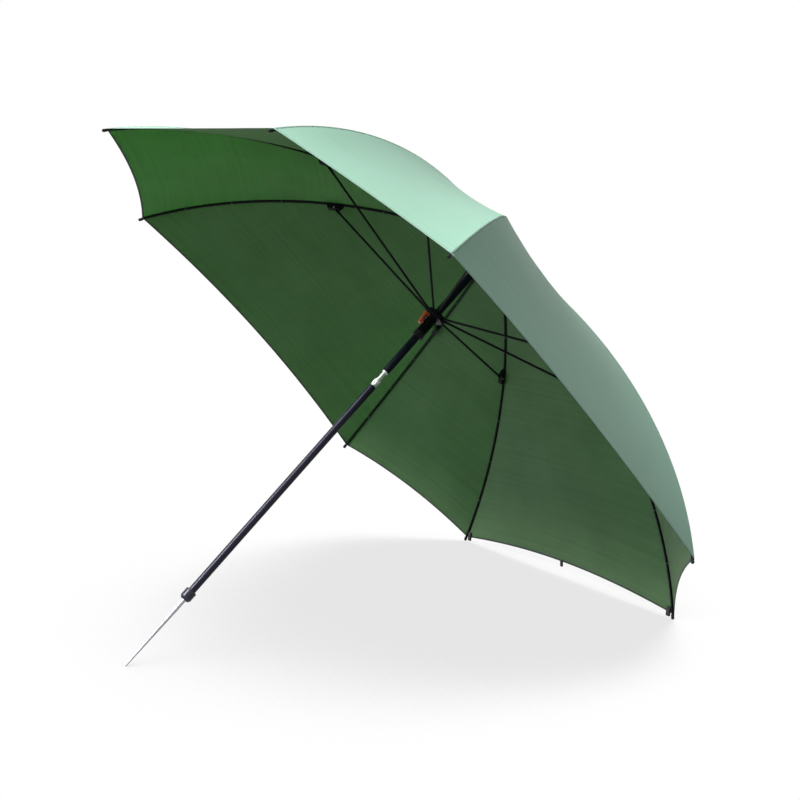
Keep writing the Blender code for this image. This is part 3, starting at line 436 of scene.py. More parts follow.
CLOTH_TOP = share_at_radius(GORE_START_RADIUS)
CORNER = (TIP_CAP_LENGTH + GAP) / RIB_LENGTH
CORNER_SHARE = 1.0 - length_share(1.0 - CORNER)
OPEN_ANGLE = math.atan2(RIM_RADIUS - HINGE_RADIUS, CROWN_HEIGHT)
FABRIC_DROP = math.atan(math.tan(WIDE_HALF_ANGLE) * math.cos(OPEN_ANGLE))
GORE_LENGTH = (1.0 - CORNER_SHARE - CLOTH_TOP) * RIB_LENGTH


def hem_depth(gore):
    rise = WIDE_HEM_RISE if is_wide(gore) else NARROW_HEM_RISE
    return 1.0 - CORNER_SHARE - length_share(1.0 - CORNER - rise / RIB_LENGTH)


def sags_of(gore):
    return (WIDE_SAG, WIDE_HEM_SAG) if is_wide(gore) else (NARROW_SAG, NARROW_HEM_SAG)


SAG_SWELL = 1.0 / (PEAK_ROW_SHARE ** 2 * (1.0 - PEAK_ROW_SHARE))


def fabric_lift():
    """Cloth above the rib's centre line, so that the steepest gore still clears the rod."""
    steepest = 0.0
    for gore in ("de", "cd"):
        sag, hem_sag = sags_of(gore)
        for i in range(SAG_ROWS):
            row = i / (SAG_ROWS - 1)
            fall = row * row * (SAG_SWELL * (1.0 - row) * sag + hem_sag)
            point = rib_place(CLOTH_TOP + (1.0 - CORNER_SHARE - CLOTH_TOP) * row)[0]
            steepest = max(steepest, math.atan2(2.0 * fall, point.x * math.sin(gore_half_angle(gore))))
    return (RIB_RADIUS + GAP) / math.cos(FABRIC_DROP + steepest)


FABRIC_LIFT = fabric_lift()


# Node trees: a field is a value inside a tree, and sums of fields become nodes
class Field:
    def __init__(self, tree, socket):
        self.tree = tree
        self.socket = socket

    def calc(self, operation, *others):
        return calc(self.tree, operation, self, *others)

    def __add__(self, other):
        return self.calc("ADD", other)

    def __sub__(self, other):
        return self.calc("SUBTRACT", other)

    def __rsub__(self, other):
        return calc(self.tree, "SUBTRACT", other, self)

    def __mul__(self, other):
        return self.calc("MULTIPLY", other)

    def __truediv__(self, other):
        return self.calc("DIVIDE", other)

    def __rtruediv__(self, other):
        return calc(self.tree, "DIVIDE", other, self)

    __radd__ = __add__


def feed(tree, socket, value):
    if isinstance(value, Field):
        tree.links.new(value.socket, socket)
    elif value is not None:
        socket.default_value = value


def add_node(tree, kind, feeds=None, **settings):
    made = tree.nodes.new(kind)
    for name, value in settings.items():
        setattr(made, name, value)
    for key, value in (feeds or {}).items():
        feed(tree, made.inputs[key], value)
    return made


def field(tree, kind, feeds=None, output=0, **settings):
    return Field(tree, add_node(tree, kind, feeds, **settings).outputs[output])


def calc(tree, operation, *values):
    return field(tree, "ShaderNodeMath", dict(enumerate(values)), operation=operation)


def vector_calc(tree, operation, first, second=None, scale=None):
    given = {0: first, 1: second, "Scale": scale}
    feeds = {key: value for key, value in given.items() if value is not None}
    return field(tree, "ShaderNodeVectorMath", feeds, operation=operation)


def combine(tree, x, y, z):
    return field(tree, "ShaderNodeCombineXYZ", {0: x, 1: y, 2: z})


def separate(tree, vector):
    made = add_node(tree, "ShaderNodeSeparateXYZ", {0: vector})
    return [Field(tree, socket) for socket in made.outputs]


def smooth_step(tree, value, low, high, start=0.0, end=1.0):
    feeds = {"Value": value, "From Min": low, "From Max": high, "To Min": start, "To Max": end}
    return field(tree, "ShaderNodeMapRange", feeds, interpolation_type="SMOOTHSTEP")


def noise(tree, vector, scale, detail=2.0, roughness=0.5, distortion=0.0):
    feeds = {"Vector": vector, "Scale": scale, "Detail": detail, "Roughness": roughness,
             "Distortion": distortion}
    return field(tree, "ShaderNodeTexNoise", feeds, noise_dimensions="3D")


SOCKETS = {"geometry": "NodeSocketGeometry", "number": "NodeSocketFloat", "count": "NodeSocketInt",
           "vector": "NodeSocketVector", "material": "NodeSocketMaterial"}


def new_tree(name, inputs, outputs=(("Geometry", "geometry"),)):
    """A geometry tree with named inputs; returns it with its inputs as fields and its end node."""
    tree = bpy.data.node_groups.new(name, "GeometryNodeTree")
    for label, kind in inputs:
        tree.interface.new_socket(name=label, in_out="INPUT", socket_type=SOCKETS[kind])
    for label, kind in outputs:
        tree.interface.new_socket(name=label, in_out="OUTPUT", socket_type=SOCKETS[kind])
    start = tree.nodes.new("NodeGroupInput")
    given = {label: Field(tree, start.outputs[label]) for label, _ in inputs}
    return tree, given, tree.nodes.new("NodeGroupOutput")


def add_object(name, data):
    obj = bpy.data.objects.new(name, data)
    bpy.context.scene.collection.objects.link(obj)
    return obj


def baked(host):
    """The plain mesh that an object's modifiers make; the object itself goes."""
    name = host.name
    depsgraph = bpy.context.evaluated_depsgraph_get()
    mesh = bpy.data.meshes.new_from_object(host.evaluated_get(depsgraph))
    bpy.data.objects.remove(host)
    mesh.name = name
    return mesh


def grow(name, tree, inputs, base=None):
    """Runs a geometry tree on a passing object and returns the plain mesh that it makes."""
    host = add_object(name, base or bpy.data.meshes.new(name))
    change = host.modifiers.new("grow", "NODES")
    change.node_group = tree
    for item in tree.interface.items_tree:
        if item.in_out == "INPUT" and item.name in inputs:
            change[item.identifier] = inputs[item.name]
    return baked(host)


# Materials: lengths in metres, colours from dark to light, roughness from low to high
MIX_UNDER, MIX_OVER, MIX_RESULT = 6, 7, 2


def finish(name, colour, roughness, metallic=0.0, **more):
    """A material with its constants on the shader's own sockets; returns material, tree, shader."""
    made = bpy.data.materials.new(name)
    made.use_nodes = True
    tree = made.node_tree
    shader = tree.nodes["Principled BSDF"]
    shader.inputs["Base Color"].default_value = (*colour, 1.0)
    shader.inputs["Roughness"].default_value = roughness
    shader.inputs["Metallic"].default_value = metallic
    for key, value in more.items():
        shader.inputs[key.replace("_", " ")].default_value = value
    return made, tree, shader


def tinted(tree, shader, factor, under, over):
    """Mixes two colours into the base colour; without an under colour, over what feeds it now."""
    base = shader.inputs["Base Color"]
    mix = add_node(tree, "ShaderNodeMix", {"Factor": factor}, data_type="RGBA", clamp_factor=True)
    if under:
        mix.inputs[MIX_UNDER].default_value = (*under, 1.0)
    else:
        tree.links.new(base.links[0].from_socket, mix.inputs[MIX_UNDER])
    mix.inputs[MIX_OVER].default_value = (*over, 1.0)
    tree.links.new(mix.outputs[MIX_RESULT], base)


def raised(tree, shader, height, depth, strength=1.0):
    """Surface relief: height from 0 to 1 stands for depth metres."""
    bump = add_node(tree, "ShaderNodeBump", {"Height": height, "Distance": depth, "Strength": strength})
    earlier = shader.inputs["Normal"].links
    if earlier:
        tree.links.new(earlier[0].from_socket, bump.inputs["Normal"])
    tree.links.new(bump.outputs["Normal"], shader.inputs["Normal"])


def roughened(tree, shader, factor, low, high):
    spread = field(tree, "ShaderNodeMapRange", {"Value": factor, "To Min": low, "To Max": high})
    feed(tree, shader.inputs["Roughness"], spread)


def object_place(tree):
    return field(tree, "ShaderNodeTexCoord", output="Object")


def own_map(tree):
    return field(tree, "ShaderNodeUVMap", uv_map="UVMap")


def streaks(tree, place, rates, detail, roughness=0.5, distortion=0.0):
    """Noise drawn out over the own map, its rates a metre given across and along."""
    spread = field(tree, "ShaderNodeMapping", {"Vector": place, "Scale": (*rates, 1.0)})
    return noise(tree, spread, 1.0, detail, roughness, distortion)


def weave(tree, place, threads):
    """Plain weave from 0 to 1: warp and weft rise by turns."""
    across, along, _ = separate(tree, place)
    warp = (across * (math.pi * threads)).calc("SINE")
    weft = (along * (math.pi * threads)).calc("SINE")
    return (warp * weft).calc("MULTIPLY_ADD", 0.5, 0.5)


def cloth_material(name, dark, light, speck, **more):
    """Coated cloth: woven bands and patches, a few pulled specks, soft creases, fine threads."""
    made, tree, shader = finish(name, light, 0.5, **more)
    place = own_map(tree)
    bands = streaks(tree, place, CLOTH_BAND_RATES, 3.0, 0.6)
    pile = streaks(tree, place, CLOTH_PILE_RATES, 2.0)
    patches = noise(tree, place, 3.2, 3.0, 0.55)
    tone = bands * 0.35 + pile * 0.12 + patches * 0.55
    tinted(tree, shader, smooth_step(tree, tone, 0.30, 0.74), dark, light)
    cells = add_node(tree, "ShaderNodeTexVoronoi", {"Vector": place, "Scale": SPECK_CELLS})
    chosen = separate(tree, Field(tree, cells.outputs["Color"]))[0]
    near = Field(tree, cells.outputs["Distance"])
    dots = smooth_step(tree, near, *SPECK_EDGE, 1.0, 0.0) * smooth_step(tree, chosen, *SPECK_CHOICE)
    tinted(tree, shader, dots, None, speck)
    threads = weave(tree, place, CLOTH_THREADS)
    creases = streaks(tree, place, CLOTH_CREASE_RATES, 4.0, 0.6, 0.8)
    raised(tree, shader, creases, 0.0016, 0.5)
    raised(tree, shader, bands, 0.00005, 0.4)
    raised(tree, shader, threads, 0.00006, 0.5)
    roughened(tree, shader, patches, 0.42, 0.60)
    return made


def tape_material(name, dark, light, threads, roughness):
    """Twill tape, its threads a metre given, rubbed paler in patches."""
    made, tree, shader = finish(name, light, roughness, Sheen_Weight=0.15, Sheen_Roughness=0.4)
    place = own_map(tree)
    across, along, _ = separate(tree, place)
    twill = ((across + along) * (2.0 * math.pi * threads)).calc("SINE").calc("MULTIPLY_ADD", 0.5, 0.5)
    wear = noise(tree, place, 60.0, 3.0)
    tinted(tree, shader, twill * 0.6 + wear * 0.4, dark, light)
    raised(tree, shader, twill, 0.00012, 0.8)
    return made


def thread_material(name, dark, light):
    made, tree, shader = finish(name, light, 0.6, Sheen_Weight=0.2)
    place = object_place(tree)
    tinted(tree, shader, noise(tree, place, 900.0, 2.0), dark, light)
    raised(tree, shader, noise(tree, place, 2400.0, 1.0), 0.0001, 0.5)
    return made


def drawn_paint_material():
    """Gloss paint over drawn tube, with the fine lines that run along it."""
    made, tree, shader = finish("pole_paint", (0.007, 0.007, 0.016), 0.32, Specular_IOR_Level=0.24,
                                Specular_Tint=(0.85, 0.85, 1.0, 1.0))
    place = own_map(tree)
    lines = streaks(tree, place, DRAW_LINE_RATES, 2.0, 0.6)
    scuffs = streaks(tree, place, SCUFF_RATES, 4.0, 0.65)
    tinted(tree, shader, lines * 0.6 + scuffs * 0.4, (0.003, 0.003, 0.007), (0.011, 0.011, 0.024))
    raised(tree, shader, lines, 0.00008, 0.6)
    roughened(tree, shader, scuffs, 0.25, 0.40)
    return made


def frame_paint_material():
    """Black stove paint with a little orange peel and faint wear."""
    made, tree, shader = finish("frame_paint", (0.003, 0.004, 0.004), 0.45, Specular_IOR_Level=0.08)
    place = object_place(tree)
    peel = noise(tree, place, 700.0, 2.0)
    wear = noise(tree, place, 26.0, 5.0, 0.7)
    tinted(tree, shader, smooth_step(tree, wear, 0.35, 0.75), (0.0015, 0.002, 0.002), (0.005, 0.006, 0.006))
    raised(tree, shader, peel, 0.00006, 0.5)
    roughened(tree, shader, wear, 0.28, 0.5)
    return made


def moulded_material(name, dark, light, low, high, gloss):
    """Moulded plastic: fine spark grain, faint flow marks, edges rubbed a little paler."""
    made, tree, shader = finish(name, light, (low + high) / 2.0, Specular_IOR_Level=gloss)
    place = object_place(tree)
    grain = noise(tree, place, 1800.0, 3.0, 0.6)
    flow = noise(tree, place, 45.0, 4.0, 0.6, 0.6)
    bevel = add_node(tree, "ShaderNodeBevel", {"Radius": RUBBED_RADIUS}, samples=RUBBED_SAMPLES)
    normal = field(tree, "ShaderNodeNewGeometry", output="Normal")
    meet = field(tree, "ShaderNodeVectorMath", {0: Field(tree, bevel.outputs[0]), 1: normal},
                 output="Value", operation="DOT_PRODUCT")
    rubbed = smooth_step(tree, meet, *RUBBED_SPAN, 1.0, 0.0)
    tinted(tree, shader, flow * 0.5 + grain * 0.2 + rubbed * 0.8, dark, light)
    raised(tree, shader, grain, 0.00005, 0.6)
    roughened(tree, shader, flow, low, high)
    return made


def turned_metal_material(name, dark, light, line_rates, low, high, metallic):
    """Bright metal with lathe rings or draw lines, chosen by the rates of the lines."""
    made, tree, shader = finish(name, light, (low + high) / 2.0, metallic)
    place = own_map(tree)
    lines = streaks(tree, place, line_rates, 3.0, 0.6)
    stains = streaks(tree, place, STAIN_RATES, 5.0, 0.7)
    tinted(tree, shader, lines * 0.5 + smooth_step(tree, stains, 0.25, 0.6) * 0.5, dark, light)
    raised(tree, shader, lines, 0.00005, 0.5)
    roughened(tree, shader, stains, low, high)
    return made


def plated_material():
    """Small pins, rings and the spring, which have no map of their own."""
    made, tree, shader = finish("plated_steel", (0.62, 0.63, 0.64), 0.28, 1.0)
    place = object_place(tree)
    marks = noise(tree, place, 500.0, 4.0, 0.6)
    tinted(tree, shader, marks, (0.42, 0.43, 0.44), (0.74, 0.75, 0.76))
    raised(tree, shader, marks, 0.00004, 0.5)
    roughened(tree, shader, marks, 0.2, 0.42)
    return made


# The canopy cloth's two faces are lit and shaded copies of one fabric: the outer face is painted paler with
# painted light and sheen, and the inner face darker with painted shade.
CLOTH_OUTER_PAINTED_LIGHT = cloth_material("canopy_cloth_outer_painted_light", (0.365, 0.625, 0.475), (0.420, 0.690, 0.540),
                             (0.060, 0.110, 0.080), Specular_IOR_Level=0.12)
CLOTH_INNER_PAINTED_SHADE = cloth_material("canopy_cloth_inner_painted_shade", (0.080, 0.140, 0.064), (0.112, 0.188, 0.092),
                             (0.012, 0.026, 0.012), Specular_IOR_Level=0.06, Subsurface_Weight=0.8,
                             Subsurface_Radius=(0.5, 1.0, 0.4), Subsurface_Scale=0.0022)
# The outer seam tape is the outer cloth's colour a little darker, so it carries the same painted light.
SEAM_TAPE = tape_material("seam_tape", (0.230, 0.420, 0.320), (0.300, 0.510, 0.400), 900.0, 0.6)
HEM_TAPE = tape_material("hem_binding", (0.004, 0.008, 0.005), (0.010, 0.018, 0.012), 700.0, 0.65)
WEBBING = tape_material("webbing", (0.006, 0.006, 0.007), (0.022, 0.023, 0.024), 450.0, 0.7)
THREAD = thread_material("sewing_thread", (0.010, 0.022, 0.013), (0.030, 0.055, 0.034))
POLE_PAINT = drawn_paint_material()
FRAME_PAINT = frame_paint_material()
BLACK_PLASTIC = moulded_material("black_plastic", (0.002, 0.002, 0.003), (0.009, 0.009, 0.012),
                                 0.34, 0.55, 0.14)
FOOT_PLASTIC = moulded_material("foot_plastic", (0.006, 0.006, 0.016), (0.026, 0.026, 0.052),
                                0.22, 0.38, 0.35)
LEVER_PLASTIC = moulded_material("lever_plastic", (0.50, 0.050, 0.018), (0.95, 0.220, 0.085),
                                 0.25, 0.4, 0.5)
BRIGHT_STEEL = turned_metal_material("bright_steel", (0.34, 0.34, 0.37), (0.54, 0.54, 0.58),
                                     (40.0, 1800.0), 0.22, 0.42, 0.3)
JOINT_ALLOY = turned_metal_material("joint_alloy", (0.60, 0.63, 0.61), (0.84, 0.87, 0.85),
                                    (1500.0, 30.0), 0.26, 0.44, 0.8)
PLATED = plated_material()


# Pieces
def place_piece(name, mesh, place, body, slot, materials, stands_for=()):
    """Leans a mesh into the world at its place and makes it a piece that moves with a body."""
    mesh.transform(place)
    if materials:
        mesh.materials.clear()
        for material in materials:
            mesh.materials.append(material)
    obj = add_object(name, mesh)
    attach(obj, body)
    if stands_for:
        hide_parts(*stands_for)
    return obj


def mesh_of(name, bm):
    """A plain mesh from a bmesh: doubles merged, faces outwards, round parts smooth."""
    bmesh.ops.remove_doubles(bm, verts=bm.verts, dist=MERGE_DISTANCE)
    bmesh.ops.recalc_face_normals(bm, faces=bm.faces)
    if bm.calc_volume(signed=True) < 0.0:
        bmesh.ops.reverse_faces(bm, faces=bm.faces)
    mesh = bpy.data.meshes.new(name)
    bm.to_mesh(mesh)
    bm.free()
    mesh.shade_smooth()
    mesh.set_sharp_from_angle(angle=ROUND_ANGLE)
    return mesh


def finished(mesh, changes):
    """Applies modifiers, given as (kind, settings), and returns the plain mesh."""
    host = add_object(mesh.name, mesh)
    for kind, settings in changes:
        change = host.modifiers.new(kind.lower(), kind)
        for key, value in settings.items():
            setattr(change, key, value)
    return baked(host)


def joined(name, parts):
    """One mesh from several (mesh, matrix) parts, with their maps and material numbers."""
    bm = bmesh.new()
    materials = []
    for mesh, matrix in parts:
        part = mesh.copy()
        part.transform(matrix)
        first = len(bm.faces)
        bm.from_mesh(part)
        bm.faces.ensure_lookup_table()
        for face in bm.faces[first:]:
            material = part.materials[face.material_index]
            if material not in materials:
                materials.append(material)
            face.material_index = materials.index(material)
        bpy.data.meshes.remove(part)
    made = bpy.data.meshes.new(name)
    bm.to_mesh(made)
    bm.free()
    for material in materials:
        made.materials.append(material)
    made.shade_smooth()
    return made


# Steps that several geometry trees share
def grid(tree, columns, rows):
    """A unit grid with its two shares from 0 to 1."""
    feeds = {"Size X": 1.0, "Size Y": 1.0, "Vertices X": columns, "Vertices Y": rows}
    mesh = field(tree, "GeometryNodeMeshGrid", feeds)
    x, y, _ = separate(tree, field(tree, "GeometryNodeInputPosition"))
    return mesh, x + 0.5, y + 0.5


def stored(tree, geometry, name, value, kind="FLOAT", domain="POINT"):
    feeds = {"Geometry": geometry, "Name": name, "Value": value}
    return field(tree, "GeometryNodeStoreNamedAttribute", feeds, data_type=kind, domain=domain)


def recalled(tree, name, kind="FLOAT"):
    return field(tree, "GeometryNodeInputNamedAttribute", {"Name": name}, data_type=kind)


def mapped(tree, geometry, across, along):
    """Stores the cloth's own map, in metres, as the UV map."""
    return stored(tree, geometry, "UVMap", combine(tree, across, along, 0.0), "FLOAT2", "CORNER")


def on_line(tree, line, share):
    """Place and tangent at a share of a curve's length."""
    sample = add_node(tree, "GeometryNodeSampleCurve", {"Curves": line, "Factor": share},
                      mode="FACTOR", use_all_curves=True)
    return Field(tree, sample.outputs["Position"]), Field(tree, sample.outputs["Tangent"])


def circle(tree, sides, radius):
    return field(tree, "GeometryNodeCurvePrimitiveCircle", {"Resolution": sides, "Radius": radius})


def moved(tree, geometry, place):
    return field(tree, "GeometryNodeSetPosition", {"Geometry": geometry, "Position": place})


def copied(tree, points, piece, up, forward, size=(1.0, 1.0, 1.0)):
    """Copies of a piece at points, its Z along up and its X along forward."""
    turn = field(tree, "FunctionNodeAxesToRotation", {0: up, 1: forward}, primary_axis="Z",
                 secondary_axis="X")
    feeds = {"Points": points, "Instance": piece, "Rotation": turn, "Scale": size}
    return field(tree, "GeometryNodeInstanceOnPoints", feeds)


def painted(tree, geometry, material):
    real = field(tree, "GeometryNodeRealizeInstances", {0: geometry})
    return field(tree, "GeometryNodeSetMaterial", {"Geometry": real, "Material": material})


# Canopy: one group says where every point of the cloth lies
SURFACE_INPUTS = [("Rib Line", "geometry"), ("Half Angle", "number"), ("Hem Depth", "number"),
                  ("Sag", "number"), ("Hem Sag", "number")]


def canopy_surface():
    """Row runs 0 to 1 from crown to hem, across -1 to 1 between ribs; inset is from the seam."""
    extra = [("Row", "number"), ("Across", "number"), ("Inset", "number"), ("Proud", "number")]
    tree, given, end = new_tree("canopy_surface", SURFACE_INPUTS + extra,
                                [("Place", "vector"), ("Normal", "vector"), ("Width", "number")])
    half, row = given["Half Angle"], given["Row"]

    def on_rib(across):
        hem = (1.0 - CORNER_SHARE) - given["Hem Depth"] * (1.0 - across * across)
        share = CLOTH_TOP + (hem - CLOTH_TOP) * row
        place, tangent = on_line(tree, given["Rib Line"], share)
        x, _, z = separate(tree, place)
        run, _, drop = separate(tree, tangent)
        return x - drop * FABRIC_LIFT, z + run * FABRIC_LIFT, run, drop

    edge_x = on_rib(given["Across"].calc("SIGN"))[0]
    edge_width = edge_x * half.calc("SINE") - SEAM_ALLOWANCE
    across = given["Across"] - given["Across"].calc("SIGN") * given["Inset"] / edge_width
    x, z, run, drop = on_rib(across)
    width = x * half.calc("SINE") - SEAM_ALLOWANCE
    slant = combine(tree, drop * -1.0, 0.0, run * half.calc("COSINE"))
    normal = vector_calc(tree, "NORMALIZE", slant)
    fall = (1.0 - row) * SAG_SWELL * given["Sag"] + given["Hem Sag"]
    fall = fall * row * row * (1.0 - across * across)
    flat = combine(tree, x * half.calc("COSINE"), across * width, z)
    shift = vector_calc(tree, "SCALE", normal, scale=given["Proud"] - fall)
    feed(tree, end.inputs["Place"], vector_calc(tree, "ADD", flat, shift))
    feed(tree, end.inputs["Normal"], normal)
    feed(tree, end.inputs["Width"], width)
    return tree


SURFACE = canopy_surface()


def on_surface(tree, given, row, across, inset=0.0, proud=0.0):
    """Place, normal and half width from the surface group, at fields of this tree."""
    feeds = {label: given[label] for label, _ in SURFACE_INPUTS}
    feeds.update({"Row": row, "Across": across, "Inset": inset, "Proud": proud})
    group = tree.nodes.new("GeometryNodeGroup")
    group.node_tree = SURFACE
    for key, value in feeds.items():
        feed(tree, group.inputs[key], value)
    return [Field(tree, group.outputs[key]) for key in ("Place", "Normal", "Width")]


def gore_tree():
    """Cloth of one gore, sagging between its ribs and puckered along both seams."""
    inputs = SURFACE_INPUTS + [("Columns", "count"), ("Seed", "number"), ("Cloth", "material")]
    tree, given, end = new_tree("gore", inputs)
    mesh, x, row = grid(tree, given["Columns"], GORE_ROWS)
    even = x * 2.0 - 1.0
    crowded = (even * (math.pi / 2.0)).calc("SINE")
    across = even * (1.0 - EDGE_CROWDING) + crowded * EDGE_CROWDING
    width = on_surface(tree, given, row, across)[2]
    away = (1.0 - across.calc("ABSOLUTE")) * width
    along = row * GORE_LENGTH

    def seam_noise(rate, side_shift, detail):
        spot = combine(tree, along * rate, across.calc("SIGN") * side_shift, given["Seed"])
        return noise(tree, spot, 1.0, detail)

    drift, pulse = seam_noise(DRIFT_RATE, DRIFT_SHIFT, 1.0), seam_noise(PULSE_RATE, PULSE_SHIFT, 2.0)
    wave = ((along / PUCKER_PITCH + drift * PUCKER_DRIFT) * (2.0 * math.pi)).calc("SINE")
    reach = away / PUCKER_REACH
    hump = reach * (1.0 - reach).calc("EXPONENT")
    pucker = wave * hump * smooth_step(tree, pulse, *PULSE_SPAN) * PUCKER_HEIGHT
    spread = combine(tree, across * width * RIPPLE_RATES[0], along * RIPPLE_RATES[1], given["Seed"])
    ripple = (noise(tree, spread, RIPPLE_SCALE, 2.0) - 0.5) * RIPPLE_HEIGHT * 2.0
    held = smooth_step(tree, away, 0.0, STILL_EDGE) * smooth_step(tree, 1.0 - row, 0.0, STILL_HEM_SHARE)
    place = on_surface(tree, given, row, across, 0.0, pucker + ripple * held + CLOTH_LIFT)[0]
    mesh = moved(tree, mapped(tree, mesh, across * width, along), place)
    mesh = field(tree, "GeometryNodeFlipFaces", {0: mesh})
    feed(tree, end.inputs[0], painted(tree, mesh, given["Cloth"]))
    return tree


def tape_tree():
    """A strip along one seam of a gore, between two distances from the seam."""
    inputs = SURFACE_INPUTS + [("Side", "number"), ("Near", "number"), ("Far", "number"),
                               ("Proud", "number"), ("Arch", "number"), ("Tape", "material")]
    tree, given, end = new_tree("seam_tape", inputs)
    mesh, x, row = grid(tree, SEAM_TAPE_COLUMNS, GORE_ROWS)
    inset = given["Near"] + (given["Far"] - given["Near"]) * x
    crown = (1.0 - x) * (1.0 - x) * given["Arch"]
    place = on_surface(tree, given, row, given["Side"], inset, given["Proud"] + crown)[0]
    mesh = moved(tree, mapped(tree, mesh, inset, row * GORE_LENGTH), place)
    feed(tree, end.inputs[0], painted(tree, mesh, given["Tape"]))
    return tree


CLOTH_MIDDLE = CLOTH_LIFT + CLOTH_THICKNESS / 2.0
OUTER_FACE = CLOTH_LIFT + CLOTH_THICKNESS


def hem_tree():
    """Binding tape folded over the hem's edge: outer face, edge, inner face."""
    inputs = SURFACE_INPUTS + [("Columns", "count"), ("Tape", "material"), ("Cloth", "material")]
    tree, given, end = new_tree("hem_binding", inputs)
    mesh, x, turn = grid(tree, given["Columns"], HEM_STEPS)
    across = x * 2.0 - 1.0
    leg = (turn * 2.0 - 1.0).calc("ABSOLUTE")
    rise = leg * HEM_WIDTH - (1.0 - leg).calc("POWER", HEM_FOLD_POWER) * HEM_THICKNESS
    reach = CLOTH_THICKNESS / 2.0 + HEM_THICKNESS * HEM_PROUD_SHARE
    side = smooth_step(tree, turn, *HEM_FOLD_SPAN, reach, -reach)
    place, _, width = on_surface(tree, given, 1.0 - rise / GORE_LENGTH, across, 0.0, side + CLOTH_MIDDLE)
    mesh = mapped(tree, mesh, turn * (2.0 * HEM_WIDTH), across * width)
    mesh = moved(tree, stored(tree, mesh, "turn", turn), place)
    mesh = painted(tree, mesh, given["Tape"])
    outer = recalled(tree, "turn").calc("LESS_THAN", OUTER_LEG_SHARE)
    mesh = field(tree, "GeometryNodeSetMaterial", {"Geometry": mesh, "Material": given["Cloth"],
                                                   "Selection": outer})
    feed(tree, end.inputs[0], mesh)
    return tree


def stitch_tree():
    """A row of stitches between two places of the cloth, given as row and across."""
    inputs = SURFACE_INPUTS + [("Stitches", "count"), ("Row Start", "number"), ("Row End", "number"),
                               ("Across Start", "number"), ("Across End", "number"),
                               ("Inset", "number"), ("Proud", "number")]
    tree, given, end = new_tree("stitches", inputs + [("Thread", "material")])
    points = field(tree, "GeometryNodePoints", {"Count": given["Stitches"]})
    share = field(tree, "GeometryNodeInputIndex") / (given["Stitches"] - 1.0)

    def between(what, step):
        return given[what + " Start"] + (given[what + " End"] - given[what + " Start"]) * step

    def at(step):
        return on_surface(tree, given, between("Row", step), between("Across", step), given["Inset"],
                          given["Proud"])

    place, normal, _ = at(share)
    along = vector_calc(tree, "SUBTRACT", at(share + STITCH_LOOK_AHEAD)[0], place)
    bead = field(tree, "GeometryNodeMeshUVSphere", {"Segments": THREAD_SIDES, "Rings": STITCH_RINGS,
                                                    "Radius": 1.0})
    size = (STITCH_LENGTH / 2.0, STITCH_RADIUS, STITCH_RADIUS)
    rows = copied(tree, moved(tree, points, place), bead, normal, along, size)
    feed(tree, end.inputs[0], painted(tree, rows, given["Thread"]))
    return tree


def line_curve(name, points):
    curve = bpy.data.curves.new(name, "CURVE")
    curve.dimensions = "3D"
    spline = curve.splines.new("POLY")
    spline.points.add(len(points) - 1)
    for point, place in zip(spline.points, points):
        point.co = (*place, 1.0)
    return curve


RIB_LINE = line_curve("rib_line", RIB_POINTS)
GORE_TREE = gore_tree()
TAPE_TREE = tape_tree()
HEM_TREE = hem_tree()
STITCH_TREE = stitch_tree()


def grow_on_gore(name, gore, tree, inputs, base=RIB_LINE):
    """Grows a tree that lies on one gore's cloth."""
    sag, hem_sag = sags_of(gore)
    surface = {"Half Angle": gore_half_angle(gore), "Hem Depth": hem_depth(gore), "Sag": sag,
               "Hem Sag": hem_sag}
    return grow(name, tree, {**surface, **inputs}, base)


def stitches_between(gore, start, end, length, inset, proud):
    """Stitches from one (row, across) place to another along a seam or hem of a gore."""
    inputs = {"Stitches": int(length / STITCH_PITCH), "Row Start": start[0], "Row End": end[0],
              "Across Start": start[1], "Across End": end[1], "Inset": inset, "Proud": proud,
              "Thread": THREAD}
    return grow_on_gore("stitch_row", gore, STITCH_TREE, inputs)


def shell(thickness, offset, **more):
    return ("SOLIDIFY", {"thickness": thickness, "offset": offset, "use_even_offset": True, **more})


def make_gore(gore):
    """Cloth, hem binding and hem stitching of one gore, which close together."""
    columns = WIDE_COLUMNS if is_wide(gore) else NARROW_COLUMNS
    width = 2.0 * RIM_RADIUS * math.sin(gore_half_angle(gore))
    place = UMBRELLA @ turn_z(gore_azimuth(gore))
    body = "panel_" + gore
    cloth = grow_on_gore("gore_cloth_" + gore, gore, GORE_TREE, {
        "Columns": columns, "Cloth": CLOTH_OUTER_PAINTED_LIGHT, "Seed": GORES.index(gore) * SEED_STEP})
    cloth.materials.append(CLOTH_INNER_PAINTED_SHADE)
    cloth = finished(cloth, [shell(CLOTH_THICKNESS, 1.0, material_offset=1)])
    cloth.shade_smooth()
    piece = place_piece("gore_cloth_" + gore, cloth, place, body, "canopy_fabric", None,
                        ["gore_" + gore])

    tape = grow_on_gore("hem_binding_" + gore, gore, HEM_TREE, {
        "Columns": 2 * columns, "Tape": HEM_TAPE, "Cloth": CLOTH_OUTER_PAINTED_LIGHT})
    tape = finished(tape, [shell(HEM_THICKNESS, 0.0)])
    tape.shade_smooth()
    hem = place_piece("hem_binding_" + gore, tape, place, body, "canopy_fabric", None)

    line = 1.0 - HEM_STITCH_RISE / GORE_LENGTH
    reach = CLOTH_THICKNESS / 2.0 + HEM_THICKNESS * HEM_STITCH_PROUD_SHARE
    ends = (line, -HEM_STITCH_END), (line, HEM_STITCH_END)
    rows = [(stitches_between(gore, *ends, width, 0.0, CLOTH_MIDDLE + face), Matrix.Identity(4))
            for face in (reach, -reach)]
    sewing = joined("hem_stitching_" + gore, rows)
    stitching = place_piece(sewing.name, sewing, place, body, "canopy_fabric", [THREAD])

    for part in (piece, hem, stitching):
        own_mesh(part)


